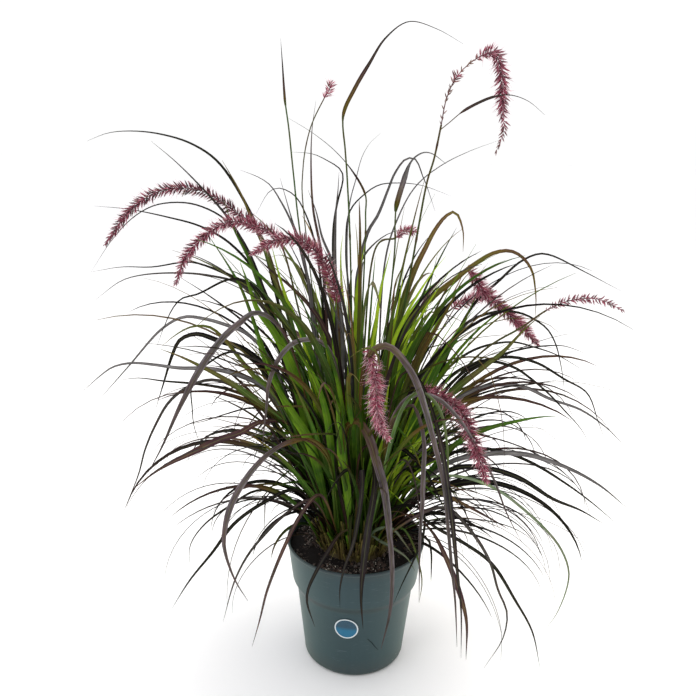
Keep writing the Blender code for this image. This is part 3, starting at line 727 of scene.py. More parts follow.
def addBlade(bed, line, width, style, lighter=1.0, side=None, roll=None, fold=0.30, outline=None,
             sheenFrom=0.1, tanned=0.0):
    # a keeled blade: two halves of an open V above, and a closed keel below
    habit = bladeHabit
    stations = len(line)
    share = np.linspace(0, 1, stations)
    ways, across, up = railsOf(line, side)
    if roll is not None:
        turn = np.broadcast_to(roll, stations)[:, None]
        across, up = (across * np.cos(turn) + up * np.sin(turn), up * np.cos(turn) - across * np.sin(turn))
    half = (width / 2 * (bladeOutline(share) if outline is None else np.interp(share, *outline)))[:, None]
    rise = up * half * fold
    thick = up * (habit["skin"] + half * habit["keel"])
    rings = np.stack([line + across * half + rise, line, line - across * half + rise, line - thick], axis=1)
    start, end, turnsAt, bloom, light = bladeStyles[style]
    change = np.clip((share - turnsAt + 0.28) / 0.56, 0, 1)
    tone = start + (end - start) * change * change * (3 - 2 * change)
    # leaves turn purple where they reach out of the clump into the sun
    out, height = np.hypot(line[:, 0], line[:, 1]), line[:, 2]
    sun = np.clip((out - habit["sunFrom"]) / habit["sunOver"], 0, 1)
    sun *= np.clip((habit["sunBelow"] - height) / habit["sunFade"], 0, 1) * tanned
    tone += np.maximum(habit["sunTone"] - tone, 0) * sun
    # painted sheen: the grey-lilac bloom stands for the sky's reflection, strongest where the blade lies
    # level
    level = np.clip(1.15 - np.abs(ways[:, 2]) * 1.05, 0, 1)  # the bloom shows where the blade lies level
    sheenShare = (0.66 + 0.34 * level) * np.clip((share - sheenFrom) * 6, 0, 1)
    sheenShare *= np.clip((1.2 - share) / 0.45, 0, 1)
    # painted shade: blades are darker low in the heart of the clump, where shade falls
    low = 1 - np.clip((height - habit["heartTop"]) / habit["heartOver"], 0, 1)
    inside = 1 - np.clip((out - habit["heartWide"]) / habit["heartEdge"], 0, 1)
    shaded = light * lighter * (1 - habit["heartShade"] * low * inside)
    # over the corners of the V and the keel the painted sheen differs, and the lightness: a painted highlight
    # on the midrib, painted shade on the margins, one darker than the other, and most under the keel
    cast = joined(tone[:, None], bloom * sheenShare[:, None] * (0.55, 1.0, 0.75, 0.2),
                  shaded[:, None] * (0.84, 1.12, 0.96, 0.8))
    addRings(bed, rings, joined((0.0, 0.5, 1.0, 0.5), (share * lineLength(line))[:, None] * 10), cast)


def addTube(bed, line, radii, corners, tones, bloom=0.0, light=1.0, side=None):
    stations = len(line)
    across, up = railsOf(line, side)[1:]
    turn = 2 * math.pi * np.arange(corners) / corners
    radii = np.broadcast_to(radii, stations)[:, None, None]
    rings = (line[:, None, :] + (across[:, None, :] * np.cos(turn)[None, :, None]
                                 + up[:, None, :] * np.sin(turn)[None, :, None]) * radii)
    cast = joined(np.broadcast_to(tones, stations)[:, None], bloom, light)
    uv = joined(np.arange(corners) / corners * 0.4, np.linspace(0, lineLength(line) * 10, stations)[:, None])
    addRings(bed, rings, uv, cast)


# crown: a mound of fibre under a thicket of old stem bases

crownShape = {"foot": 0.1612, "top": 0.1740, "reach": 0.047, "ripple": 0.0012,
              "bases": 300, "baseTall": (0.014, 0.058), "sunk": 0.012, "baseRadius": (0.0009, 0.0022),
              "baseOutline": (1.2, 1.15, 1.05, 0.95, 0.85, 0.62), "baseLight": (0.32, 0.85),
              "wisps": 150, "wispFrom": 0.030, "wispOut": (0.006, 0.020), "wispUp": (-0.008, 0.030),
              "wispBow": (0.003, 0.010), "wispWidth": (0.0008, 0.0026), "wispLight": (0.8, 1.3),
              # radius, and height as a share from foot to top
              "mound": ((0.050, 0.0), (0.0495, 0.25), (0.046, 0.62), (0.040, 0.88), (0.030, 1.0),
                        (0.012, 1.06))}


def moundPoint(radius, share, turn):
    shape = crownShape
    radius = radius + shape["ripple"] * math.sin(5 * turn + 9 * share)
    height = shape["foot"] + (shape["top"] - shape["foot"]) * share
    return radius * math.cos(turn), radius * math.sin(turn), height


def growCrown():
    shape = crownShape
    reach = shape["reach"]
    bed = newBed()
    turns = 2 * math.pi * np.arange(40) / 40
    rings = np.array([[moundPoint(*step, turn) for turn in turns] for step in shape["mound"]])
    addRings(bed, rings, (0.5, 0.3), (0.95, 0.0, 0.55))
    for k in range(shape["bases"]):
        azimuth = chance.uniform(0, 2 * math.pi)
        radius = reach * math.sqrt(chance.random())
        lean = 0.08 + 0.50 * (radius / reach) ** 2 * chance.uniform(0.2, 1.1)
        tall = chance.uniform(*shape["baseTall"]) * (1.2 - 0.6 * radius / reach)
        foot = onRing(radius, azimuth, shape["top"] - shape["sunk"] - 0.004 * (radius / reach) ** 2)
        top = foot + np.array((math.cos(azimuth) * math.sin(lean), math.sin(azimuth) * math.sin(lean),
                               math.cos(lean))) * (tall + shape["sunk"])
        bow = foot + (top - foot) * 0.5 + np.array((0, 0, 0.002))
        radii = chance.uniform(*shape["baseRadius"]) * np.array(shape["baseOutline"])
        tones = np.linspace(chance.uniform(0.3, 0.95), chance.uniform(0.0, 0.55), len(radii))
        addTube(bed, smoothLine([foot, bow, top], len(radii) - 1), radii, 6, tones, 0.0,
                chance.uniform(*shape["baseLight"]))
    for k in range(shape["wisps"]):
        azimuth = chance.uniform(0, 2 * math.pi)
        foot = onRing(chance.uniform(shape["wispFrom"], reach), azimuth, shape["top"] - 0.004)
        out = chance.uniform(*shape["wispOut"])
        away = np.array((math.cos(azimuth + chance.normal(0, 0.5)),
                         math.sin(azimuth + chance.normal(0, 0.5)), 0))
        tip = foot + away * out + np.array((0, 0, chance.uniform(*shape["wispUp"])))
        middle = (foot + tip) / 2 + np.array((0, 0, chance.uniform(*shape["wispBow"])))
        line = smoothLine([foot, middle, tip], 6)
        line[:, 2] = np.maximum(line[:, 2], soilLook["top"] + 0.001)
        radii = chance.uniform(*shape["wispWidth"]) * 0.5 * np.linspace(1, 0.15, 7)
        addTube(bed, line, radii, 3, chance.uniform(0.1, 0.8), 0.25, chance.uniform(*shape["wispLight"]))
    finishPiece("oldStemBases", bed, strawSurface, ["crown"])


growCrown()
print("crown grown")


# leafy shoots: 28 upright planes round the crown, every second one with an outer shoot

clump = {"planes": 28, "crownTop": 0.1761, "leafFoot": 0.004, "leafBase": 0.172,
         "swings": (4.5, -4.5, 3.5, -3.0), "fullSide": -45.0, "stalk": (0.0023, 0.0013),
         "width": (0.0065, 0.0098), "light": (0.55, 1.2), "fold": (0.2, 0.5)}
# leaves: turn, droop and share of the length; front: how long they are where they hang over the pot; more:
# loose leaves beside them, how many more on the right, and how many fewer over the front of the pot
shootKinds = {
    "outer": {
        "ring": 0.041, "tiller": 0.024, "launch": (56.0, 72.0), "length": (0.335, 0.400), "fuller": 0.15,
        "bend": 1.3, "front": 0.62, "more": (14, 6, 11),
        "leaves": ((-14.0, 118.0, 0.80), (-7.0, 128.0, 0.92), (0.0, 134.0, 1.00), (5.0, 138.0, 0.96)),
        "width": (0.0019, 0.0075),
        "styles": {"purple": 0.29, "dark": 0.49, "olive": 0.06, "green": 0.02, "ash": 0.09, "lilac": 0.05},
    },
    "inner": {
        "ring": 0.024, "tiller": 0.062, "launch": (77.0, 86.0), "length": (0.430, 0.490), "fuller": 0.04,
        "bend": 1.9, "front": 1.0, "more": (11, 0, 7),
        "leaves": ((-16.0, 132.0, 0.90), (-9.0, 124.0, 1.00), (-3.0, 104.0, 1.02), (3.0, 66.0, 0.94)),
        "width": (0.0016, 0.0090),
        "styles": {"green": 0.29, "olive": 0.26, "bright": 0.02, "rust": 0.13, "purple": 0.11, "dark": 0.15,
                   "ash": 0.04},
    },
}
# short green leaves that fill the heart of the clump, and tall ones that stand over it
heartLeaves = {
    "short": {"each": 17, "launch": (66.0, 90.0), "droop": (8.0, 70.0), "length": (0.18, 0.37),
              "width": (0.0032, 0.0085), "spread": 22,
              "styles": {"green": 0.50, "vivid": 0.26, "olive": 0.18, "dark": 0.06}},
    "tall": {"each": 5, "launch": (76.0, 90.0), "droop": (14.0, 95.0), "length": (0.34, 0.53),
             "width": (0.0035, 0.0085), "spread": 14,
             "styles": {"green": 0.28, "vivid": 0.16, "olive": 0.26, "rust": 0.12, "purple": 0.08,
                        "ash": 0.10}},
}
# the side of the heart where the shorter leaves are yellow-green: painted light, as of sun shining through
# them
sunlitSide = {"azimuth": 30.0, "share": 0.95, "longest": 0.42}


def moreLeaves(name, azimuth):
    right, front = math.cos(azimuth), max(-math.sin(azimuth), 0.0)
    most, atRight, fewer = shootKinds[name]["more"]
    return int(round(most + atRight * right - fewer * front ** 2))


room = {"low": np.array(cadBox[0]) - 0.008, "high": np.array(cadBox[1]) + 0.008, "overFloor": 0.045,
        "rimPixel": 530, "leftPixel": 190}
# a leaf without room is shortened by steps to the least length, and kept from a certain length on
leafFit = {"shorter": 0.94, "least": 0.08, "kept": 0.10}
# the upper and lower edge of the foliage in the photograph, in pixels
foliageTop = ((82, 330), (92, 205), (95, 141), (150, 131), (192, 142), (225, 160), (262, 178), (280, 150),
              (345, 140), (381, 133), (440, 150), (463, 205), (480, 236), (500, 248), (550, 252), (600, 270),
              (627, 300))
foliageFoot = ((82, 400), (121, 518), (171, 605), (223, 615), (252, 640), (272, 590), (300, 545), (350, 552),
               (398, 545), (425, 600), (455, 650), (484, 664), (540, 660), (575, 590), (600, 545), (627, 510))


def leafRoute(start, azimuth, launch, droop, length, swing, bend, steps=22, sway=0.0, snap=(2.0, 0.0)):
    # rises at its launch angle and droops more and more toward its tip; a snapped leaf hangs from its fold
    share = (np.arange(60) + 0.5) / 60
    folded = np.clip((share - snap[0]) / 0.05, 0, 1) * snap[1]
    angle = np.radians(np.maximum(launch - droop * share ** bend - folded, -88))
    heading = azimuth + np.radians(swing * share + sway * np.sin(4.4 * share))
    moves = onRing(np.cos(angle), heading, np.sin(angle))
    line = np.vstack([start, start + np.cumsum(moves * length / 60, axis=0)])
    return evenStations(line, steps)


# heights and radii of the outside of the pot, the room for a leaf beside it, and where leaves cross the rim
potSide = {"wall": ((0.0, 0.0985, 0.1075, 0.177), (0.0695, 0.0799, 0.0858, 0.0952)), "room": 0.0016,
           "rimHeight": 0.1775, "rimInside": 0.062}


def clearOfPot(line):
    # a leaf that comes down over the rim lies outside the wall
    line = line.copy()
    out = np.hypot(line[:, 0], line[:, 1])
    furthest = np.maximum.accumulate(out)
    low = (line[:, 2] < potSide["rimHeight"]) & (furthest > potSide["rimInside"])
    wall = np.interp(line[:, 2], *potSide["wall"]) + potSide["room"]
    wanted = np.where(low, np.maximum(out, wall), out)
    line[:, :2] *= (wanted / np.maximum(out, 1e-6))[:, None]
    line[:, 2] = np.maximum(line[:, 2], 0.003)
    return line


def fitsRoom(line):
    # untraced leaves stay in the room, above the floor and inside the foliage as the photograph shows it
    if (line < room["low"]).any() or (line > room["high"]).any() or (line[:, 2] < room["overFloor"]).any():
        return False
    across, down = pixelOf(line).T
    lowest = np.interp(across, *zip(*foliageFoot))
    # the lower edge counts on the left side, and below the rim
    lowest[(down < room["rimPixel"]) & (across > room["leftPixel"])] = 999
    return (down > np.interp(across, *zip(*foliageTop))).all() and (down < lowest).all()


def fittedLeaf(length, **route):
    # shortened until it fits, and left out where it would be a stub
    line = clearOfPot(leafRoute(length=length, **route))
    while not fitsRoom(line) and length > leafFit["least"]:
        length *= leafFit["shorter"]
        line = clearOfPot(leafRoute(length=length, **route))
    return line if length > leafFit["kept"] else None


def between(ends, share):
    return ends[0] + (ends[1] - ends[0]) * share


def pick(styles):
    names = list(styles)
    weights = np.array([styles[name] for name in names])
    return names[int(chance.choice(len(names), p=weights / weights.sum()))]


def twisted(stations, most):
    # a lazy twist from the foot to the tip
    share = np.linspace(0, 1, stations)
    return chance.normal(0, most) * np.clip(share / 0.5, 0, 1) + chance.normal(0, 0.4) * share


# loose leaves: how far they stray and sway, how many are snapped, where and by how much, light, twist, fold
looseHabit = {"heading": 10, "swing": 16, "sway": 8, "snapped": 0.13, "snapAt": (0.35, 0.75),
              "snapBy": (35, 90), "light": (0.35, 1.35), "twist": 1.0, "fold": (0.15, 0.55)}
untraced = {"sheenFrom": 0.25, "tanned": 0.85}
# how loose leaves differ from the shoot's own in place, launch and form, and how many more are slim
looseSpread = {"azimuth": 9, "ring": 0.006, "turn": 0.7, "launch": 8, "droop": (0.62, 1.20),
               "length": (0.50, 1.08), "bend": (0.75, 1.4), "slim": 1.5}
# the ring and the bend of the leaves in the heart
heartSpread = {"ring": (0.004, 0.040), "bend": (1.3, 2.4)}


def looseLeaf(bed, azimuth, ring, launch, droop, length, bend, width, style):
    habit = looseHabit
    foot = onRing(ring, azimuth, clump["leafBase"])
    heading = azimuth + math.radians(chance.normal(0, habit["heading"]))
    bends = {"swing": chance.normal(0, habit["swing"]), "sway": chance.normal(0, habit["sway"])}
    if chance.random() < habit["snapped"]:
        bends["snap"] = (chance.uniform(*habit["snapAt"]), chance.uniform(*habit["snapBy"]))
    line = fittedLeaf(length, start=foot, azimuth=heading, launch=launch, droop=droop, bend=bend, **bends)
    if line is not None:
        addBlade(bed, line, width, style, chance.uniform(*habit["light"]), sideOf(heading),
                 twisted(len(line), habit["twist"]), chance.uniform(*habit["fold"]), **untraced)


def ownLeaves(bed, plane, name, azimuth, launch, length, traced):
    # the stalk of a shoot and its own leaves
    kind = shootKinds[name]
    lean, side = math.radians(launch), sideOf(azimuth)
    away = np.array((math.cos(azimuth), math.sin(azimuth), 0.0))
    way = away * math.cos(lean) + np.array((0, 0, math.sin(lean)))
    foot = onRing(kind["ring"], azimuth, clump["crownTop"])
    tall = kind["tiller"]
    stalk = [foot - way * 0.006, foot + way * tall * 0.5, foot + way * (tall + 3 * clump["leafFoot"])]
    addTube(bed, smoothLine(stalk, 8), np.linspace(*clump["stalk"], 9), 8, np.linspace(0.55, 0.25, 9), 0.0,
            0.9, side)
    # leaves traced from the photograph take the place of as many of the shoot's own, the lowest first
    own = list(enumerate(kind["leaves"]))[min(traced, 3):]
    short = 1.0
    if math.sin(azimuth) < -0.6:  # over the front of the pot the photograph shows hardly any but those
        own = own[-2:] if name == "inner" else own[-1:] if not traced else []
        short = kind["front"]
    for k, (turn, droop, share) in own:
        start = foot + way * (tall + clump["leafFoot"] * min(k + 0.5, 3.0))
        swing = clump["swings"][k] * (1 if plane % 4 < 2 else -1)
        line = fittedLeaf(length * share * short, start=start, azimuth=azimuth, launch=launch + turn,
                          droop=droop, swing=swing, bend=kind["bend"], steps=26)
        if line is None:
            continue
        line = clearOfPot(evenStations(np.vstack([start - way * 0.02, line]), 26))
        width = chance.uniform(*clump["width"]) * short
        addBlade(bed, line, width, pick(kind["styles"]), chance.uniform(*clump["light"]), side,
                 twisted(len(line), 0.8), chance.uniform(*clump["fold"]), **untraced)


def growShoot(plane, bed, traced):
    name = "inner" if plane % 2 else "outer"
    kind, loose = shootKinds[name], looseSpread
    spread = plane * 0.618 % 1.0  # even, but never in step with the planes
    azimuth = 2 * math.pi * plane / clump["planes"]
    fuller = kind["fuller"] * (math.cos(azimuth - math.radians(clump["fullSide"])) - 1 / 3)
    launch = between(kind["launch"], spread)
    length = between(kind["length"], spread) * (1 + fuller)
    ownLeaves(bed, plane, name, azimuth, launch, length, traced)
    for k in range(moreLeaves(name, azimuth)):
        turn, droop, share = kind["leaves"][k % 4]
        looseLeaf(bed, azimuth + math.radians(chance.normal(0, loose["azimuth"])),
                  kind["ring"] + chance.normal(0, loose["ring"]),
                  launch + turn * loose["turn"] + chance.normal(0, loose["launch"]),
                  droop * chance.uniform(*loose["droop"]), length * share * chance.uniform(*loose["length"]),
                  kind["bend"] * chance.uniform(*loose["bend"]),
                  between(kind["width"], chance.random() ** loose["slim"]), pick(kind["styles"]))
    # painted light: on the sunlit side the shorter heart leaves take the bright yellow-green
    lit = max(math.cos(azimuth - math.radians(sunlitSide["azimuth"])), 0.0) * sunlitSide["share"]
    for heart in heartLeaves.values() if name == "inner" else ():
        for k in range(heart["each"]):
            long = chance.uniform(*heart["length"])
            yellow = chance.random() < lit and long < sunlitSide["longest"]
            style = "bright" if yellow else pick(heart["styles"])
            looseLeaf(bed, azimuth + math.radians(chance.normal(0, heart["spread"])),
                      chance.uniform(*heartSpread["ring"]), chance.uniform(*heart["launch"]),
                      chance.uniform(*heart["droop"]), long, chance.uniform(*heartSpread["bend"]),
                      chance.uniform(*heart["width"]), style)


# leaves that stand out in the photograph: style, width in mm, depth of the tip, and the x and y of pixels
# by turns from the tip down
keyLeaves = {
    # upper left
    "skyArc": ("dark", 4.0, 0.03, 87, 141, 108, 133, 131, 131, 160, 134, 192, 144, 219, 163, 253, 218,
        263, 245, 275, 290),
    "skyBlade": ("purple", 4.5, -0.03, 151, 141, 176, 162, 202, 188, 228, 218, 248, 252, 265, 297),
    "highLeft": ("dark", 3.2, 0.06, 256, 214, 269, 192, 278, 188, 294, 195, 306, 215, 318, 260),
    "leftReach": ("dark", 3.6, -0.02, 94, 206, 127, 209, 167, 217, 202, 227, 233, 246, 262, 285),
    "leftHook": ("dark", 2.6, 0.02, 91, 272, 112, 240, 135, 216, 160, 204, 200, 206, 240, 236),
    "leftLevel": ("dark", 3.4, -0.04, 91, 272, 121, 267, 152, 267, 190, 262, 212, 268, 233, 277, 254, 290),
    "leftArch": ("purple", 3.4, -0.05, 93, 302, 121, 281, 142, 275, 181, 273, 212, 276, 240, 284, 262, 305),
    "oliveArch": ("olive", 8.5, -0.02, 176, 256, 212, 268, 233, 277, 254, 289, 275, 309, 292, 334, 303, 356,
        318, 387),
    "greyNeedle": ("ash", 4.5, 0.04, 240, 170, 258, 177, 270, 185, 280, 200, 289, 217, 296, 234, 303, 260,
        312, 300),
    "greyTwin": ("ash", 4.5, 0.00, 280, 178, 284, 192, 293, 223, 299, 240, 307, 275),
    "oliveSteep": ("olive", 7.0, 0.02, 222, 160, 240, 192, 252, 220, 263, 245, 275, 280, 290, 320),
    "greenSteep": ("green", 7.5, -0.03, 224, 200, 232, 225, 249, 259, 262, 293, 277, 325, 295, 370),
    # left
    "leftFall": ("dark", 4.0, -0.06, 156, 349, 164, 327, 173, 308, 181, 299, 198, 294, 233, 279, 258, 290),
    "leftBack": ("dark", 4.0, 0.02, 178, 276, 205, 293, 226, 308, 247, 325, 268, 350),
    "leftLong": ("ash", 4.6, -0.05, 98, 401, 128, 367, 163, 328, 184, 317, 205, 319, 226, 325, 247, 334,
        270, 360),
    "leftFar": ("ash", 5.5, -0.03, 82, 392, 100, 376, 113, 367, 132, 363, 156, 365, 179, 368, 212, 369,
        240, 376, 268, 392),
    "leftLow": ("dark", 4.4, -0.05, 119, 380, 139, 378, 163, 381, 187, 383, 212, 386, 230, 390, 258, 404),
    "greyWide": ("lilac", 8.6, -0.13, 148, 473, 162, 447, 179, 409, 198, 373, 212, 352, 226, 335, 240, 323,
        254, 313, 270, 318, 290, 345),
    "oliveWide": ("olive", 9.0, -0.06, 160, 349, 179, 356, 198, 365, 219, 376, 240, 389, 261, 405,
        289, 426),
    "blackElbow": ("dark", 7.5, -0.02, 156, 408, 164, 382, 172, 356, 179, 341, 187, 336, 198, 334, 219, 341,
        245, 350, 270, 375),
    "oliveElbow": ("olive", 6.5, -0.08, 162, 346, 177, 334, 191, 327, 205, 326, 213, 329, 224, 339,
        240, 359, 254, 376, 275, 394),
    "silverElbow": ("lilac", 6.0, -0.12, 262, 455, 264, 430, 267, 403, 268, 388, 275, 366, 284, 352,
        296, 342, 319, 341, 335, 362),
    "steepDark": ("green", 6.0, -0.05, 206, 232, 226, 262, 240, 286, 252, 317, 264, 353, 285, 400),
    "greenBroad": ("vivid", 12.5, -0.07, 240, 262, 249, 286, 257, 309, 273, 331, 285, 353, 298, 390),
    "greenTwin": ("vivid", 8.0, -0.09, 255, 335, 261, 353, 268, 370, 282, 396, 296, 417, 310, 440),
    "brownRight": ("maroon", 7.0, 0.00, 250, 250, 268, 268, 289, 285, 308, 304, 321, 322, 335, 360),
    "leftDrop": ("purple", 4.0, -0.06, 121, 518, 139, 473, 145, 450, 156, 424, 170, 401, 190, 386, 214, 380,
        245, 395),
    "thinDrop": ("dark", 3.2, -0.09, 205, 455, 201, 446, 194, 426, 192, 405, 191, 390, 196, 376, 210, 362,
        232, 352, 260, 368),
    "darkWide": ("maroon", 8.6, -0.08, 133, 489, 160, 469, 198, 450, 219, 440, 240, 433, 261, 422,
        290, 425),
    "thinLevel": ("dark", 3.0, -0.05, 183, 425, 201, 422, 226, 414, 251, 408, 275, 412),
    "rustLow": ("rust", 5.0, -0.10, 262, 455, 275, 449, 293, 443, 308, 439, 325, 450),
    # low left and front
    "lowLeft": ("dark", 4.5, -0.14, 171, 610, 190, 580, 212, 553, 235, 523, 265, 502, 295, 490),
    "potLeft": ("maroon", 4.6, -0.19, 252, 647, 260, 619, 267, 591, 283, 550, 300, 516, 318, 495),
    "hookLeft": ("dark", 3.0, -0.10, 190, 568, 190, 546, 203, 526, 228, 507, 262, 490),
    "lilacLeft": ("lilac", 8.2, -0.18, 248, 601, 235, 580, 226, 555, 224, 541, 230, 509, 249, 475, 274, 450,
        300, 439, 325, 455),
    "lowBend": ("purple", 3.6, -0.17, 223, 622, 235, 580, 248, 555, 265, 534, 287, 513, 310, 500),
    "centreFall": ("lilac", 11.0, -0.135, 381, 649, 390, 611, 392, 573, 390, 541, 384, 490, 376, 461,
        368, 436, 357, 421, 348, 425, 345, 450),
    "overRimWide": ("purple", 9.5, -0.125, 363, 629, 361, 598, 363, 567, 368, 528, 374, 490, 373, 460,
        368, 445, 360, 455),
    "overRimThin": ("purple", 5.5, -0.125, 340, 608, 340, 588, 345, 566, 352, 548, 358, 520, 362, 490,
        362, 470),
    "overRimLeft": ("purple", 4.5, -0.120, 315, 627, 307, 602, 308, 590, 316, 572, 327, 553, 340, 534,
        348, 530),
    "overRimRight": ("dark", 3.2, -0.120, 393, 605, 403, 582, 415, 557, 423, 536, 424, 515, 414, 500),
    "paleHook": ("olive", 2.6, -0.105, 419, 603, 422, 581, 418, 560, 411, 540, 402, 528),
    "lilacFront": ("lilac", 8.6, -0.22, 457, 647, 455, 600, 452, 571, 448, 529, 444, 487, 434, 443,
        425, 409, 414, 378, 397, 353, 386, 346, 373, 351, 362, 380),
    "frontTwin": ("purple", 6.5, -0.23, 461, 658, 461, 610, 457, 570, 452, 520, 447, 480, 440, 440,
        430, 405, 418, 378, 405, 372),
    "frontThird": ("maroon", 6.5, -0.21, 466, 660, 466, 618, 455, 580, 446, 558, 435, 536, 424, 523,
        412, 515, 396, 518),
    "frontOlive": ("faded", 4.6, -0.20, 446, 530, 447, 506, 448, 477, 447, 444, 441, 413, 433, 400,
        420, 392, 405, 404),
    "frontGrey": ("lilac", 6.0, -0.19, 419, 602, 420, 532, 422, 506, 423, 473, 424, 444, 419, 418, 412, 405,
        400, 412),
    # right
    "paleRight": ("lilac", 6.0, -0.20, 522, 543, 507, 514, 494, 480, 480, 453, 461, 422, 438, 399, 415, 395,
        395, 415),
    "dropRight": ("purple", 4.2, -0.345, 484, 668, 503, 638, 507, 613, 498, 590, 490, 562, 470, 530,
        445, 508),
    "dropFar": ("dark", 4.2, -0.18, 540, 668, 532, 631, 515, 600, 492, 564, 467, 545, 438, 529, 415, 515),
    "yellowRight": ("faded", 3.6, -0.13, 545, 630, 557, 613, 568, 583, 568, 567, 557, 543, 522, 508,
        492, 487, 456, 476, 425, 480),
    "rightFar": ("ash", 5.0, -0.03, 626, 448, 609, 430, 581, 410, 550, 399, 524, 387, 497, 385, 470, 392,
        440, 415),
    "rightWide": ("ash", 6.4, -0.08, 627, 508, 599, 485, 563, 466, 522, 454, 480, 455, 445, 465),
    "rightDark": ("dark", 6.5, -0.09, 604, 524, 580, 510, 553, 499, 519, 478, 485, 468, 450, 470),
    "rightThin": ("dark", 4.0, -0.05, 618, 525, 591, 502, 565, 483, 530, 462, 495, 450, 455, 452),
    "greenRight": ("green", 7.0, -0.05, 559, 416, 541, 417, 513, 422, 487, 429, 455, 445),
    "rightArc": ("rust", 7.5, -0.02, 535, 319, 536, 300, 535, 287, 532, 271, 522, 257, 510, 251, 494, 253,
        475, 264, 457, 278, 430, 300, 405, 332),
    "rightInner": ("rust", 6.0, -0.05, 474, 268, 463, 280, 451, 303, 435, 331, 420, 360),
    "tallArc": ("rust", 9.0, 0.03, 463, 252, 463, 231, 457, 214, 453, 212, 445, 217, 435, 230, 425, 249,
        416, 267, 406, 293, 398, 318, 385, 365),
    "farRight": ("dark", 3.6, 0.05, 621, 291, 585, 272, 550, 255, 538, 254, 520, 262, 500, 280, 470, 310),
    "rightBow": ("dark", 3.6, 0.00, 565, 398, 563, 378, 560, 361, 556, 345, 548, 330, 537, 321, 520, 313,
        495, 312, 460, 330),
    "rightLevel": ("dark", 3.8, -0.02, 587, 354, 564, 346, 544, 346, 518, 350, 490, 360, 455, 385),
    "rightOlive": ("olive", 9.0, -0.06, 540, 316, 524, 330, 504, 351, 484, 367, 454, 391, 430, 420),
    "rightGreen": ("green", 10.0, -0.08, 476, 296, 454, 342, 443, 358, 432, 380, 415, 420),
    "rightSpan": ("dark", 4.2, -0.04, 605, 440, 598, 421, 587, 393, 564, 379, 537, 363, 510, 357, 487, 360,
        458, 371, 430, 400),
    "rightRod": ("dark", 3.4, -0.08, 566, 379, 537, 383, 497, 389, 465, 401, 435, 425),
    "rightSlant": ("dark", 3.4, -0.01, 586, 372, 557, 355, 537, 348, 510, 342, 470, 352, 435, 385),
    "rightSlope": ("dark", 4.0, -0.06, 590, 445, 581, 429, 564, 410, 550, 395, 530, 378, 513, 367, 485, 362,
        450, 385),
    # upper middle
    "lilacArc": ("ash", 4.6, 0.08, 435, 211, 426, 184, 423, 177, 415, 159, 406, 159, 395, 173, 388, 190,
        378, 215, 368, 232, 360, 270),
    "lilacBend": ("dark", 3.8, 0.06, 292, 152, 313, 154, 328, 161, 339, 168, 343, 175, 342, 185, 338, 200,
        334, 222, 333, 250, 336, 300),
    "lilacFlag": ("ash", 6.5, 0.02, 339, 172, 338, 190, 336, 210, 335, 235, 335, 274, 338, 320),
    "lilacLean": ("ash", 6.0, 0.00, 308, 190, 316, 211, 322, 237, 331, 259, 335, 281, 342, 330),
    # pale leaves over the soil, low on the right
    "paleSpray": ("faded", 3.6, -0.085, 415, 571, 407, 558, 393, 548, 380, 541, 372, 536),
    "paleArch": ("faded", 3.8, -0.080, 413, 555, 403, 541, 394, 530, 382, 528, 372, 534),
    # upper middle, the rest
    "plumeSheath": ("ash", 5.2, 0.052, 405, 229, 396, 231, 386, 235, 374, 244, 364, 256, 357, 275),
    "thinArc": ("dark", 2.6, 0.10, 451, 196, 420, 185, 394, 183, 379, 185, 366, 193, 350, 211, 346, 250,
        350, 300),
    "thinFeather": ("ash", 2.4, 0.08, 381, 133, 370, 143, 362, 157, 356, 179, 350, 202, 347, 240, 348, 290),
    "thinSlant": ("ash", 2.4, 0.09, 500, 140, 470, 151, 442, 165, 416, 186, 398, 218, 385, 262),
    "thinCross": ("maroon", 4.0, 0.04, 316, 100, 312, 130, 311, 165, 313, 208, 322, 260),
    "brightOne": ("bright", 7.0, 0.00, 391, 250, 387, 264, 381, 289, 376, 325, 372, 370),
    "brightTwo": ("bright", 7.0, 0.03, 365, 244, 362, 259, 357, 289, 356, 325, 358, 370),
    "brightThree": ("bright", 6.0, 0.01, 343, 235, 341, 249, 341, 274, 343, 300, 350, 345),
    "brightFour": ("bright", 7.0, -0.04, 271, 243, 274, 255, 279, 275, 287, 300, 305, 345),
    "brownOne": ("rust", 6.0, -0.02, 405, 262, 396, 281, 393, 303, 391, 332, 386, 370),
    "brightFive": ("bright", 5.8, 0.00, 446, 256, 436, 268, 420, 291, 404, 319, 391, 352),
    "brightSix": ("bright", 5.4, -0.05, 434, 300, 420, 318, 406, 336, 392, 362),
    "brightSeven": ("bright", 5.4, 0.02, 404, 268, 401, 290, 397, 312, 390, 345),
    "brightEight": ("bright", 4.8, -0.02, 452, 268, 437, 290, 421, 316, 404, 350),
    # heart, left of the middle
    "heartOne": ("vivid", 9.0, -0.09, 288, 338, 299, 354, 312, 373, 325, 409, 330, 440),
    "heartTwo": ("vivid", 6.5, -0.06, 337, 296, 333, 334, 336, 365, 341, 404, 344, 430),
    "heartThree": ("vivid", 10.0, -0.10, 335, 395, 338, 417, 341, 456, 347, 490),
    "heartFour": ("vivid", 7.5, -0.08, 262, 350, 267, 362, 276, 386, 290, 414, 306, 440),
}


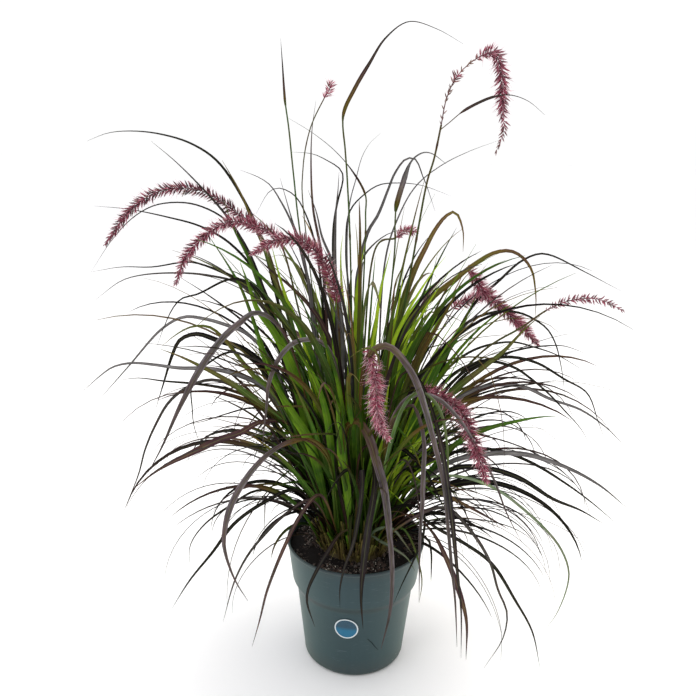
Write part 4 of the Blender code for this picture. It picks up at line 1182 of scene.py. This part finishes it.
# how wide a traced leaf is along its length: those that hang in front grow wide only past their arch, where
# their painted sheen begins
tracedHabits = {
    "even": {"outline": ((0, 0.2, 0.45, 0.66, 0.86, 1), (0.35, 0.5, 1.0, 0.92, 0.48, 0.04))},
    "late": {"outline": ((0, 0.3, 0.50, 0.62, 0.75, 0.86, 1), (0.18, 0.24, 0.42, 0.86, 1.0, 0.50, 0.04)),
             "fold": 0.5, "sheenFrom": 0.5},
    "elbow": {"outline": ((0, 0.46, 0.56, 0.66, 0.78, 0.88, 1), (0.14, 0.22, 0.46, 0.90, 1.0, 0.50, 0.04)),
              "fold": 0.5, "sheenFrom": 0.5},
    "fall": {"outline": ((0, 0.30, 0.38, 0.47, 0.57, 0.72, 0.88, 1),
                         (0.18, 0.22, 0.50, 1.0, 1.0, 0.62, 0.42, 0.04)),
             "fold": 0.5, "sheenFrom": 0.42},
}
hanging = {"greyWide": "elbow", "lilacLeft": "late", "silverElbow": "elbow", "darkWide": "late",
           "overRimWide": "late", "frontTwin": "late", "frontThird": "late", "frontGrey": "late",
           "centreFall": "fall", "lilacFront": "fall", "paleRight": "fall"}


# the ring on the crown where traced leaves stand, how they come forward, and the steps along them; their
# widths hold at a distance from the camera
tracing = {"ring": 0.034, "forward": 1.7, "step": 0.008, "fewest": 20, "wider": 1.05, "distance": 0.95}
# a thin dark sliver on the wall of the pot: its depth, width, distance off the wall and pixels
wallSliver = {"depth": -0.077, "width": 0.0011, "off": 0.0006,
                 "pixels": ((368, 640), (373, 645), (378, 651), (382, 655))}


def keyLine(depth, pixels):
    # from the tip down; the foot stands on the crown, on the side the leaf leans to
    tip = atPixel(*pixels[0], depth)
    lean = math.atan2(tip[1], tip[0])
    foot = onRing(tracing["ring"], lean, clump["leafBase"])
    shadow = np.vstack([pixelOf(foot), pixels[::-1]])
    reach = np.concatenate([[0], np.cumsum(np.linalg.norm(np.diff(shadow, axis=0), axis=1))])
    share = 1 - (1 - reach / reach[-1]) ** tracing["forward"]
    points = [foot]
    for (px, py), part in zip(shadow[1:], share[1:]):
        points.append(atPixel(px, py, foot[1] + (depth - foot[1]) * part))
    steps = max(tracing["fewest"], int(lineLength(np.array(points)) / tracing["step"]))
    return clearOfPot(routeLine(points, steps)), lean


def laySliver():
    # a thin dark sliver on the wall of the pot, drawn as a scrap of dark leaf
    shape = wallSliver
    bed = newBed()
    scrap = np.array([atPixel(px, py, shape["depth"]) for px, py in shape["pixels"]])
    wall = np.array([bodyRadius(height) for height in scrap[:, 2]]) + shape["off"]
    scrap[:, :2] *= (wall / np.hypot(scrap[:, 0], scrap[:, 1]))[:, None]
    addBlade(bed, evenStations(scrap, 8), shape["width"], "dark", 0.8, roll=math.pi / 2,
             outline=((0, 0.5, 1), (0.5, 1, 0.3)))
    finishPiece("darkWallSliver", bed, leafSurface)


beds = {plane: newBed() for plane in range(clump["planes"])}
tracedIn = dict.fromkeys(beds, 0)
for name, (style, wide, depth, *pixels) in keyLeaves.items():
    line, lean = keyLine(depth, np.reshape(pixels, (-1, 2)))
    plane = int(round(lean / (2 * math.pi) * clump["planes"])) % clump["planes"]
    nearer = tracing["wider"] * np.linalg.norm(line[len(line) // 2] - eyePlace) / tracing["distance"]
    habit = tracedHabits[hanging.get(name, "even")]
    addBlade(beds[plane], line, wide * mm * nearer, style, chance.uniform(0.95, 1.2), sideOf(lean),
             turnToView(line, sideOf(lean)), **habit)
    tracedIn[plane] += 1
laySliver()
for plane, bed in beds.items():
    growShoot(plane, bed, tracedIn[plane])
print("leaves traced in each plane", tracedIn)
for plane, bed in beds.items():
    name = ("inner" if plane % 2 else "outer") + f"_shoot_{plane // 2 + 1:02d}"
    finishPiece("leaves_" + name, bed, leafSurface, [name], sharp=50)
print("shoots grown")


# flower stems and plumes, with the points of the solids in millimetres

flowers = {
    "1": ([(-13, 0), (-52, -5, 330), (-94, -10, 500)],
          [(-122, -14, 591), (-156, -18, 622), (-194, -22, 645), (-239, -27, 644), (-277, -31, 619),
           (-306, -34, 581)]),
    "2": ([(-14, -5), (-46, -15, 350), (-76, -26, 500)],
          [(-98, -34, 587), (-125, -44, 606), (-155, -54, 612), (-182, -64, 596), (-203, -71, 573),
           (-215, -75, 543)]),
    "3": ([(-7, -5), (-15, -10, 300), (-24, -15, 430)],
          [(-29, -18, 510), (-37, -23, 542), (-51, -32, 571), (-74, -46, 591), (-100, -63, 592),
           (-125, -78, 580)]),
    "4": ([(10, 1), (40, 16, 380), (66, 23, 560), (79, 28, 649), (88, 31, 684)],
          [(95, 33, 724), (100, 35, 754), (112, 39, 781), (135, 47, 802), (158, 56, 810), (170, 59, 786),
           (173, 60, 751), (178, 62, 721), (169, 59, 691)]),
    "5": ([(14, 2), (50, 4, 350), (98, 10, 500)],
          [(133, 15, 548), (156, 18, 523), (183, 21, 499), (210, 24, 475), (236, 26, 449)]),
    "6": ([(15, 8), (40, 19, 290), (60, 30, 370), (94, 54, 455)],
          [(126, 70, 485), (143, 77, 493), (162, 83, 499), (180, 90, 504)]),
    "7": ([(13, -4), (42, -2, 270), (82, -7, 350), (150, -17, 445), (202, -23, 485)],
          [(229, -26, 507), (258, -29, 521), (290, -33, 523), (320, -36, 510)]),
    "8": ([(3, -14), (8, -31, 243), (14, -52, 330), (13, -92, 450)],
          [(8, -121, 480), (13, -134, 464), (16, -148, 447), (17, -162, 430), (20, -176, 414),
           (29, -190, 403)]),
    "9": ([(8, -10), (27, -42, 330), (50, -74, 415)],
          [(74, -100, 428), (97, -122, 423), (114, -144, 414), (121, -166, 397), (127, -188, 381),
           (132, -210, 365)]),
    "10": ([(-12, 5), (-46, 12, 400), (-72, 20, 607), (-74, 20, 668), (-65, 12, 716)],
           [(-48, 10, 752), (-43, 10, 759), (-40, 10, 770)]),
    "11": ([(1, 6), (6, 13, 430), (16, 24, 566)],
           [(45, 50, 583), (57, 55, 593), (72, 60, 590)]),
}
flagLeaf = {"flower": "4", "width": 0.0036, "depth": 0.031, "footPixel": 131,
            "outline": ((0, 0.2, 0.26, 0.5, 0.6, 1), (0.3, 0.3, 1.0, 0.9, 0.35, 0.06)),
            "pixels": ((450, 122), (462, 112), (478, 103), (493, 97), (510, 95), (528, 101), (545, 115))}
# how thick the culms are, which flower's is thin and by how much, and where the joints stand
culmShape = {"radius": 0.0015, "young": 0.85, "thin": {"10": 0.6}, "flowerTone": 0.55, "youngTone": 0.40,
             "joints": (0.07, 0.9, 0.115), "jointLength": 0.0022, "samples": 400, "steps": 90}
# each plume's habit: how broad and pale it is, bristles to a spikelet, how full it is along its length
plumeHabits = {
    "1": {"broad": 0.88, "pale": -0.15, "bristles": 3},
    "2": {"broad": 0.86, "pale": -0.06, "bristles": 5},
    "3": {"broad": 1.30, "bristles": 5},
    "4": {"broad": 1.30, "bristles": 4, "fullness": ((0, 0.2, 0.24, 0.29, 0.36, 0.44, 0.70, 0.84, 1.0),
                                                     (0.35, 0.3, 0.7, 0.2, 0.3, 1.0, 1.0, 0.6, 0.4))},
    "5": {"broad": 1.40},
    "6": {"broad": 1.70, "pale": 0.16},
    "7": {"bristles": 3, "fullness": ((0, 0.3, 1.0), (0.6, 0.8, 0.6))},
    "8": {"broad": 1.22, "pale": 0.12, "bristles": 8},
    "9": {"broad": 1.20},
    "10": {"broad": 1.25, "pale": 0.22, "bristles": 4},
    "11": {"broad": 1.35, "pale": 0.10},
}
plumeShape = {"spacing": 0.00085, "spikelet": 0.0104, "girth": 0.00108, "bristle": 0.0150, "hair": 0.00025,
              "axis": 0.0006, "spiral": 2.39996, "opening": ((0, 0.5, 0.9, 1.0), (62, 58, 45, 22)),
              # height and width of a spikelet and of a hair, how much paler their tips are, tone and light
              "spikeletForm": ((0.0, 0.30), (0.30, 1.0), (0.68, 0.72), (1.0, 0.08)), "spikeletTip": 0.22,
              "spikeletTone": (0.0, 0.30), "spikeletLight": (0.40, 1.15), "dried": 0.93,
              "hairForm": ((0.0, 1.0), (0.5, 0.8), (1.0, 0.15)), "hairBow": 1.6, "hairTip": 0.55,
              "hairTone": (0.18, 0.62), "hairLight": (0.6, 1.4), "hairLength": (0.45, 1.1)}
plumeLook = {"ramp": ((0.0, "#370b18"), (0.25, "#741d36"), (0.50, "#a23c59"), (0.78, "#c98292"),
                      (1.0, "#ecced2")),
             "dry": "#7b6a52", "roughness": 0.62}


def plumeSurface():
    # silky bristles: dark wine-red at the spikelet, pale rose at the tip, with a soft sheen
    surface, tree, shader = newSurface("fountain grass bristles, silky", IOR=1.45, Sheen_Weight=0.25,
                                       Sheen_Roughness=0.4, Roughness=plumeLook["roughness"])
    each, place = castAndPlace(tree)
    tone = blotchedRamp(tree, place, each[0], plumeLook["ramp"], 140.0, 3.0, 0.12)
    tone = addNode(tree, "Mix", {7: fromHex(plumeLook["dry"])}, {0: each[1], 6: tone}, data_type="RGBA")
    lit = addNode(tree, "VectorMath", links={0: tone, "Scale": each[2]}, operation="SCALE")
    dressShader(tree, shader, lit)
    return surface


plumeFinish = plumeSurface()


def culmLine(stemPoints, topPoints):
    # the line up a stem and on through what it bears, and the place where that starts
    (x, y), *others = stemPoints
    stem = np.array([(x * mm, y * mm, clump["crownTop"]), *[np.array(point) * mm for point in others]])
    top = np.array(topPoints) * mm
    whole = smoothLine(np.vstack([stem, top]), culmShape["samples"])
    return whole, int(np.argmin(np.linalg.norm(whole - top[0], axis=1)))


def stemTube(bed, line, thick, top):
    # a culm with a swollen joint every hand's breadth, green below, its tone at the top given
    shape = culmShape
    share = np.linspace(0, 1, len(line))
    reach = share * lineLength(line)
    joints = np.arange(*shape["joints"])
    joint = np.exp(-((reach[:, None] - joints[None, :]) / shape["jointLength"]) ** 2).sum(axis=1)
    tones = 0.28 + (top - 0.28) * share ** 1.5 + 0.22 * joint
    radii = shape["radius"] * thick * (1.10 - 0.3 * share)
    addTube(bed, line, radii * (1 + 0.35 * joint), 8, tones, 0.05, 0.72)


def brushPlume(name, line, replaced, fullness=((0, 1), (1, 1)), broad=1.0, pale=0.0, bristles=6):
    # spikelets set spirally round the axis, each in its tuft of bristles
    shape = plumeShape
    length = lineLength(line)
    count = int(length / shape["spacing"])
    share = (np.arange(count) + 0.5) / count
    share = share[chance.random(count) < np.interp(share, *fullness)]
    count = len(share)
    filled = np.interp(share, *fullness)
    fine = evenStations(line, 160)
    at = np.clip(share * 160, 0, 159.99)
    base = at.astype(int)
    places = fine[base] + (fine[base + 1] - fine[base]) * (at - base)[:, None]
    ways, across, up = [rail[base] for rail in railsOf(fine)]

    def outward(spin):
        return across * np.cos(spin)[:, None] + up * np.sin(spin)[:, None]

    def aimed(opened, out):
        return ways * np.cos(opened)[:, None] + out * np.sin(opened)[:, None]

    # slim at the foot and the tip, slimmer in a short plume and where it is thin
    outline = np.minimum.reduce([0.45 + 5.0 * share * length / 0.12, np.ones(count),
                                 0.30 + 2.4 * (1 - share) * max(length / 0.15, 1.0)])
    outline = outline * min(1.0, 0.55 + 3.0 * length) * (0.1 + 0.9 * filled) * broad
    spin = shape["spiral"] * np.arange(count) + chance.normal(0, 0.25, count)
    bed = newBed()
    addTube(bed, evenStations(line, 60), shape["axis"] * np.linspace(1.3, 0.5, 61), 5, 0.1, 0.1, 0.8)
    opened = np.radians(np.interp(share, *shape["opening"]) + chance.normal(0, 7, count))
    opened *= np.clip(0.15 + 1.3 * filled, 0, 1)  # a thin stretch keeps its spikelets close, and dries first
    out = outward(spin)
    grain = spindle(5, shape["spikeletForm"])
    grain["along"] = grain["points"][:, 2] * shape["spikeletTip"]
    size = chance.uniform(0.8, 1.15, count)
    turns = aimTurns(aimed(opened, out), shape["girth"] * size * np.sqrt(outline),
                     shape["spikelet"] * size * outline ** 0.6)
    tuft = chance.random(count)
    dry = np.clip(1.3 - 2.0 * filled, 0, 0.75)
    casts = joined(chance.uniform(*shape["spikeletTone"], count) + pale,
                   np.maximum(dry, (tuft > shape["dried"]) * 0.5),
                   chance.uniform(*shape["spikeletLight"], count))
    scatterShape(bed, grain, turns, places + out * 0.0005, casts)
    hair = spindle(3, shape["hairForm"])
    hair["points"][:, 0] += shape["hairBow"] * (hair["points"][:, 2] ** 2)
    hair["along"] = hair["points"][:, 2] * shape["hairTip"]
    for k in range(bristles):
        wide = opened + chance.normal(0, 0.28, count) - 0.10
        out = outward(spin + chance.normal(0, 0.35, count))
        long = shape["bristle"] * outline ** 0.8 * (0.4 + 0.6 * filled)
        long = long * chance.uniform(*shape["hairLength"], count)
        casts = joined(chance.uniform(*shape["hairTone"], count) + pale, dry,
                       chance.uniform(*shape["hairLight"], count))
        turns = aimTurns(aimed(wide, out), np.full(count, shape["hair"]), long)
        scatterShape(bed, hair, turns, places + out * 0.0006, casts)
    finishPiece(name, bed, plumeFinish, replaced, sharp=70)


for number, (stemPoints, plumePoints) in flowers.items():
    whole, joint = culmLine(stemPoints, plumePoints)
    stem = evenStations(whole[:joint + 1], culmShape["steps"])
    bed = newBed()
    stemTube(bed, stem, culmShape["thin"].get(number, 1.0), culmShape["flowerTone"])
    if number == flagLeaf["flower"]:
        foot = stem[int(np.argmin(np.abs(pixelOf(stem)[:, 1] - flagLeaf["footPixel"])))]
        flag = routeLine([foot, *[atPixel(px, py, flagLeaf["depth"]) for px, py in flagLeaf["pixels"]]], 36)
        addBlade(bed, flag, flagLeaf["width"], "flag", 0.8, roll=turnToView(flag, None),
                 outline=flagLeaf["outline"])
    finishPiece(f"culm_flower_{number}", bed, leafSurface, [f"flower_stem_{number}"])
    brushPlume(f"brush_{number}", whole[joint:], [f"plume_{number}"], **plumeHabits[number])
print("plumes brushed")


# young culms, each ending in its flag leaf

youngCulms = {
    "1": {"stem": [(-8, 9), (-48, 28, 400), (-78, 47, 578), (-88, 54, 660), (-94, 59, 716)],
          "leaf": [(-99, 62, 752), (-102, 64, 795), (-104, 65, 824)],
          "style": "flag", "width": 0.0034, "outline": ((0, 0.1, 0.5, 1), (0.8, 1.0, 0.6, 0.06))},
    "2": {"stem": [(-1, -3), (-8, -2, 400), (-14, 0, 574), (-19, 0, 658), (-22, 0, 693)],
          "leaf": [(-25, 0, 732), (-12, 5, 763), (5, 10, 792), (23, 15, 820), (50, 20, 839), (84, 25, 832),
                   (116, 30, 817)],
          "style": "flag", "width": 0.0047,
          "outline": ((0, 0.06, 0.28, 0.42, 0.6, 1), (0.4, 1.0, 1.0, 0.62, 0.30, 0.05))},
    "3": {"stem": [(6, 5), (30, 18, 400), (42, 26, 558), (42, 26, 602)],
          "leaf": [(43, 27, 625), (50, 31, 652), (59, 37, 678), (72, 38, 690), (86, 38, 690),
                   (104, 38, 678)],
          "style": "ash", "width": 0.0068,
          "outline": ((0, 0.08, 0.38, 0.55, 1), (0.5, 1.0, 1.0, 0.35, 0.06))},
    "4": {"stem": [(-2, 10), (1, 20, 400), (5, 38, 571), (5, 50, 613)],
          "leaf": [(4, 60, 638), (-14, 75, 667), (-38, 90, 692), (-67, 105, 713), (-99, 120, 731)],
          "style": "dark", "width": 0.0030,
          "outline": ((0, 0.05, 0.2, 0.36, 1), (0.5, 1.0, 0.9, 0.35, 0.08))},
}
for number, culm in youngCulms.items():
    whole, joint = culmLine(culm["stem"], culm["leaf"])
    bed = newBed()
    stem = evenStations(whole[:joint + 1], culmShape["steps"])
    stemTube(bed, stem, culmShape["young"], culmShape["youngTone"])
    leaf = evenStations(whole[max(joint - 4, 0):], 40)
    addBlade(bed, leaf, culm["width"], culm["style"], 0.95, roll=turnToView(leaf, None),
             outline=culm["outline"])
    finishPiece(f"culm_young_{number}", bed, leafSurface, [f"young_culm_{number}"])
print("young culms grown")
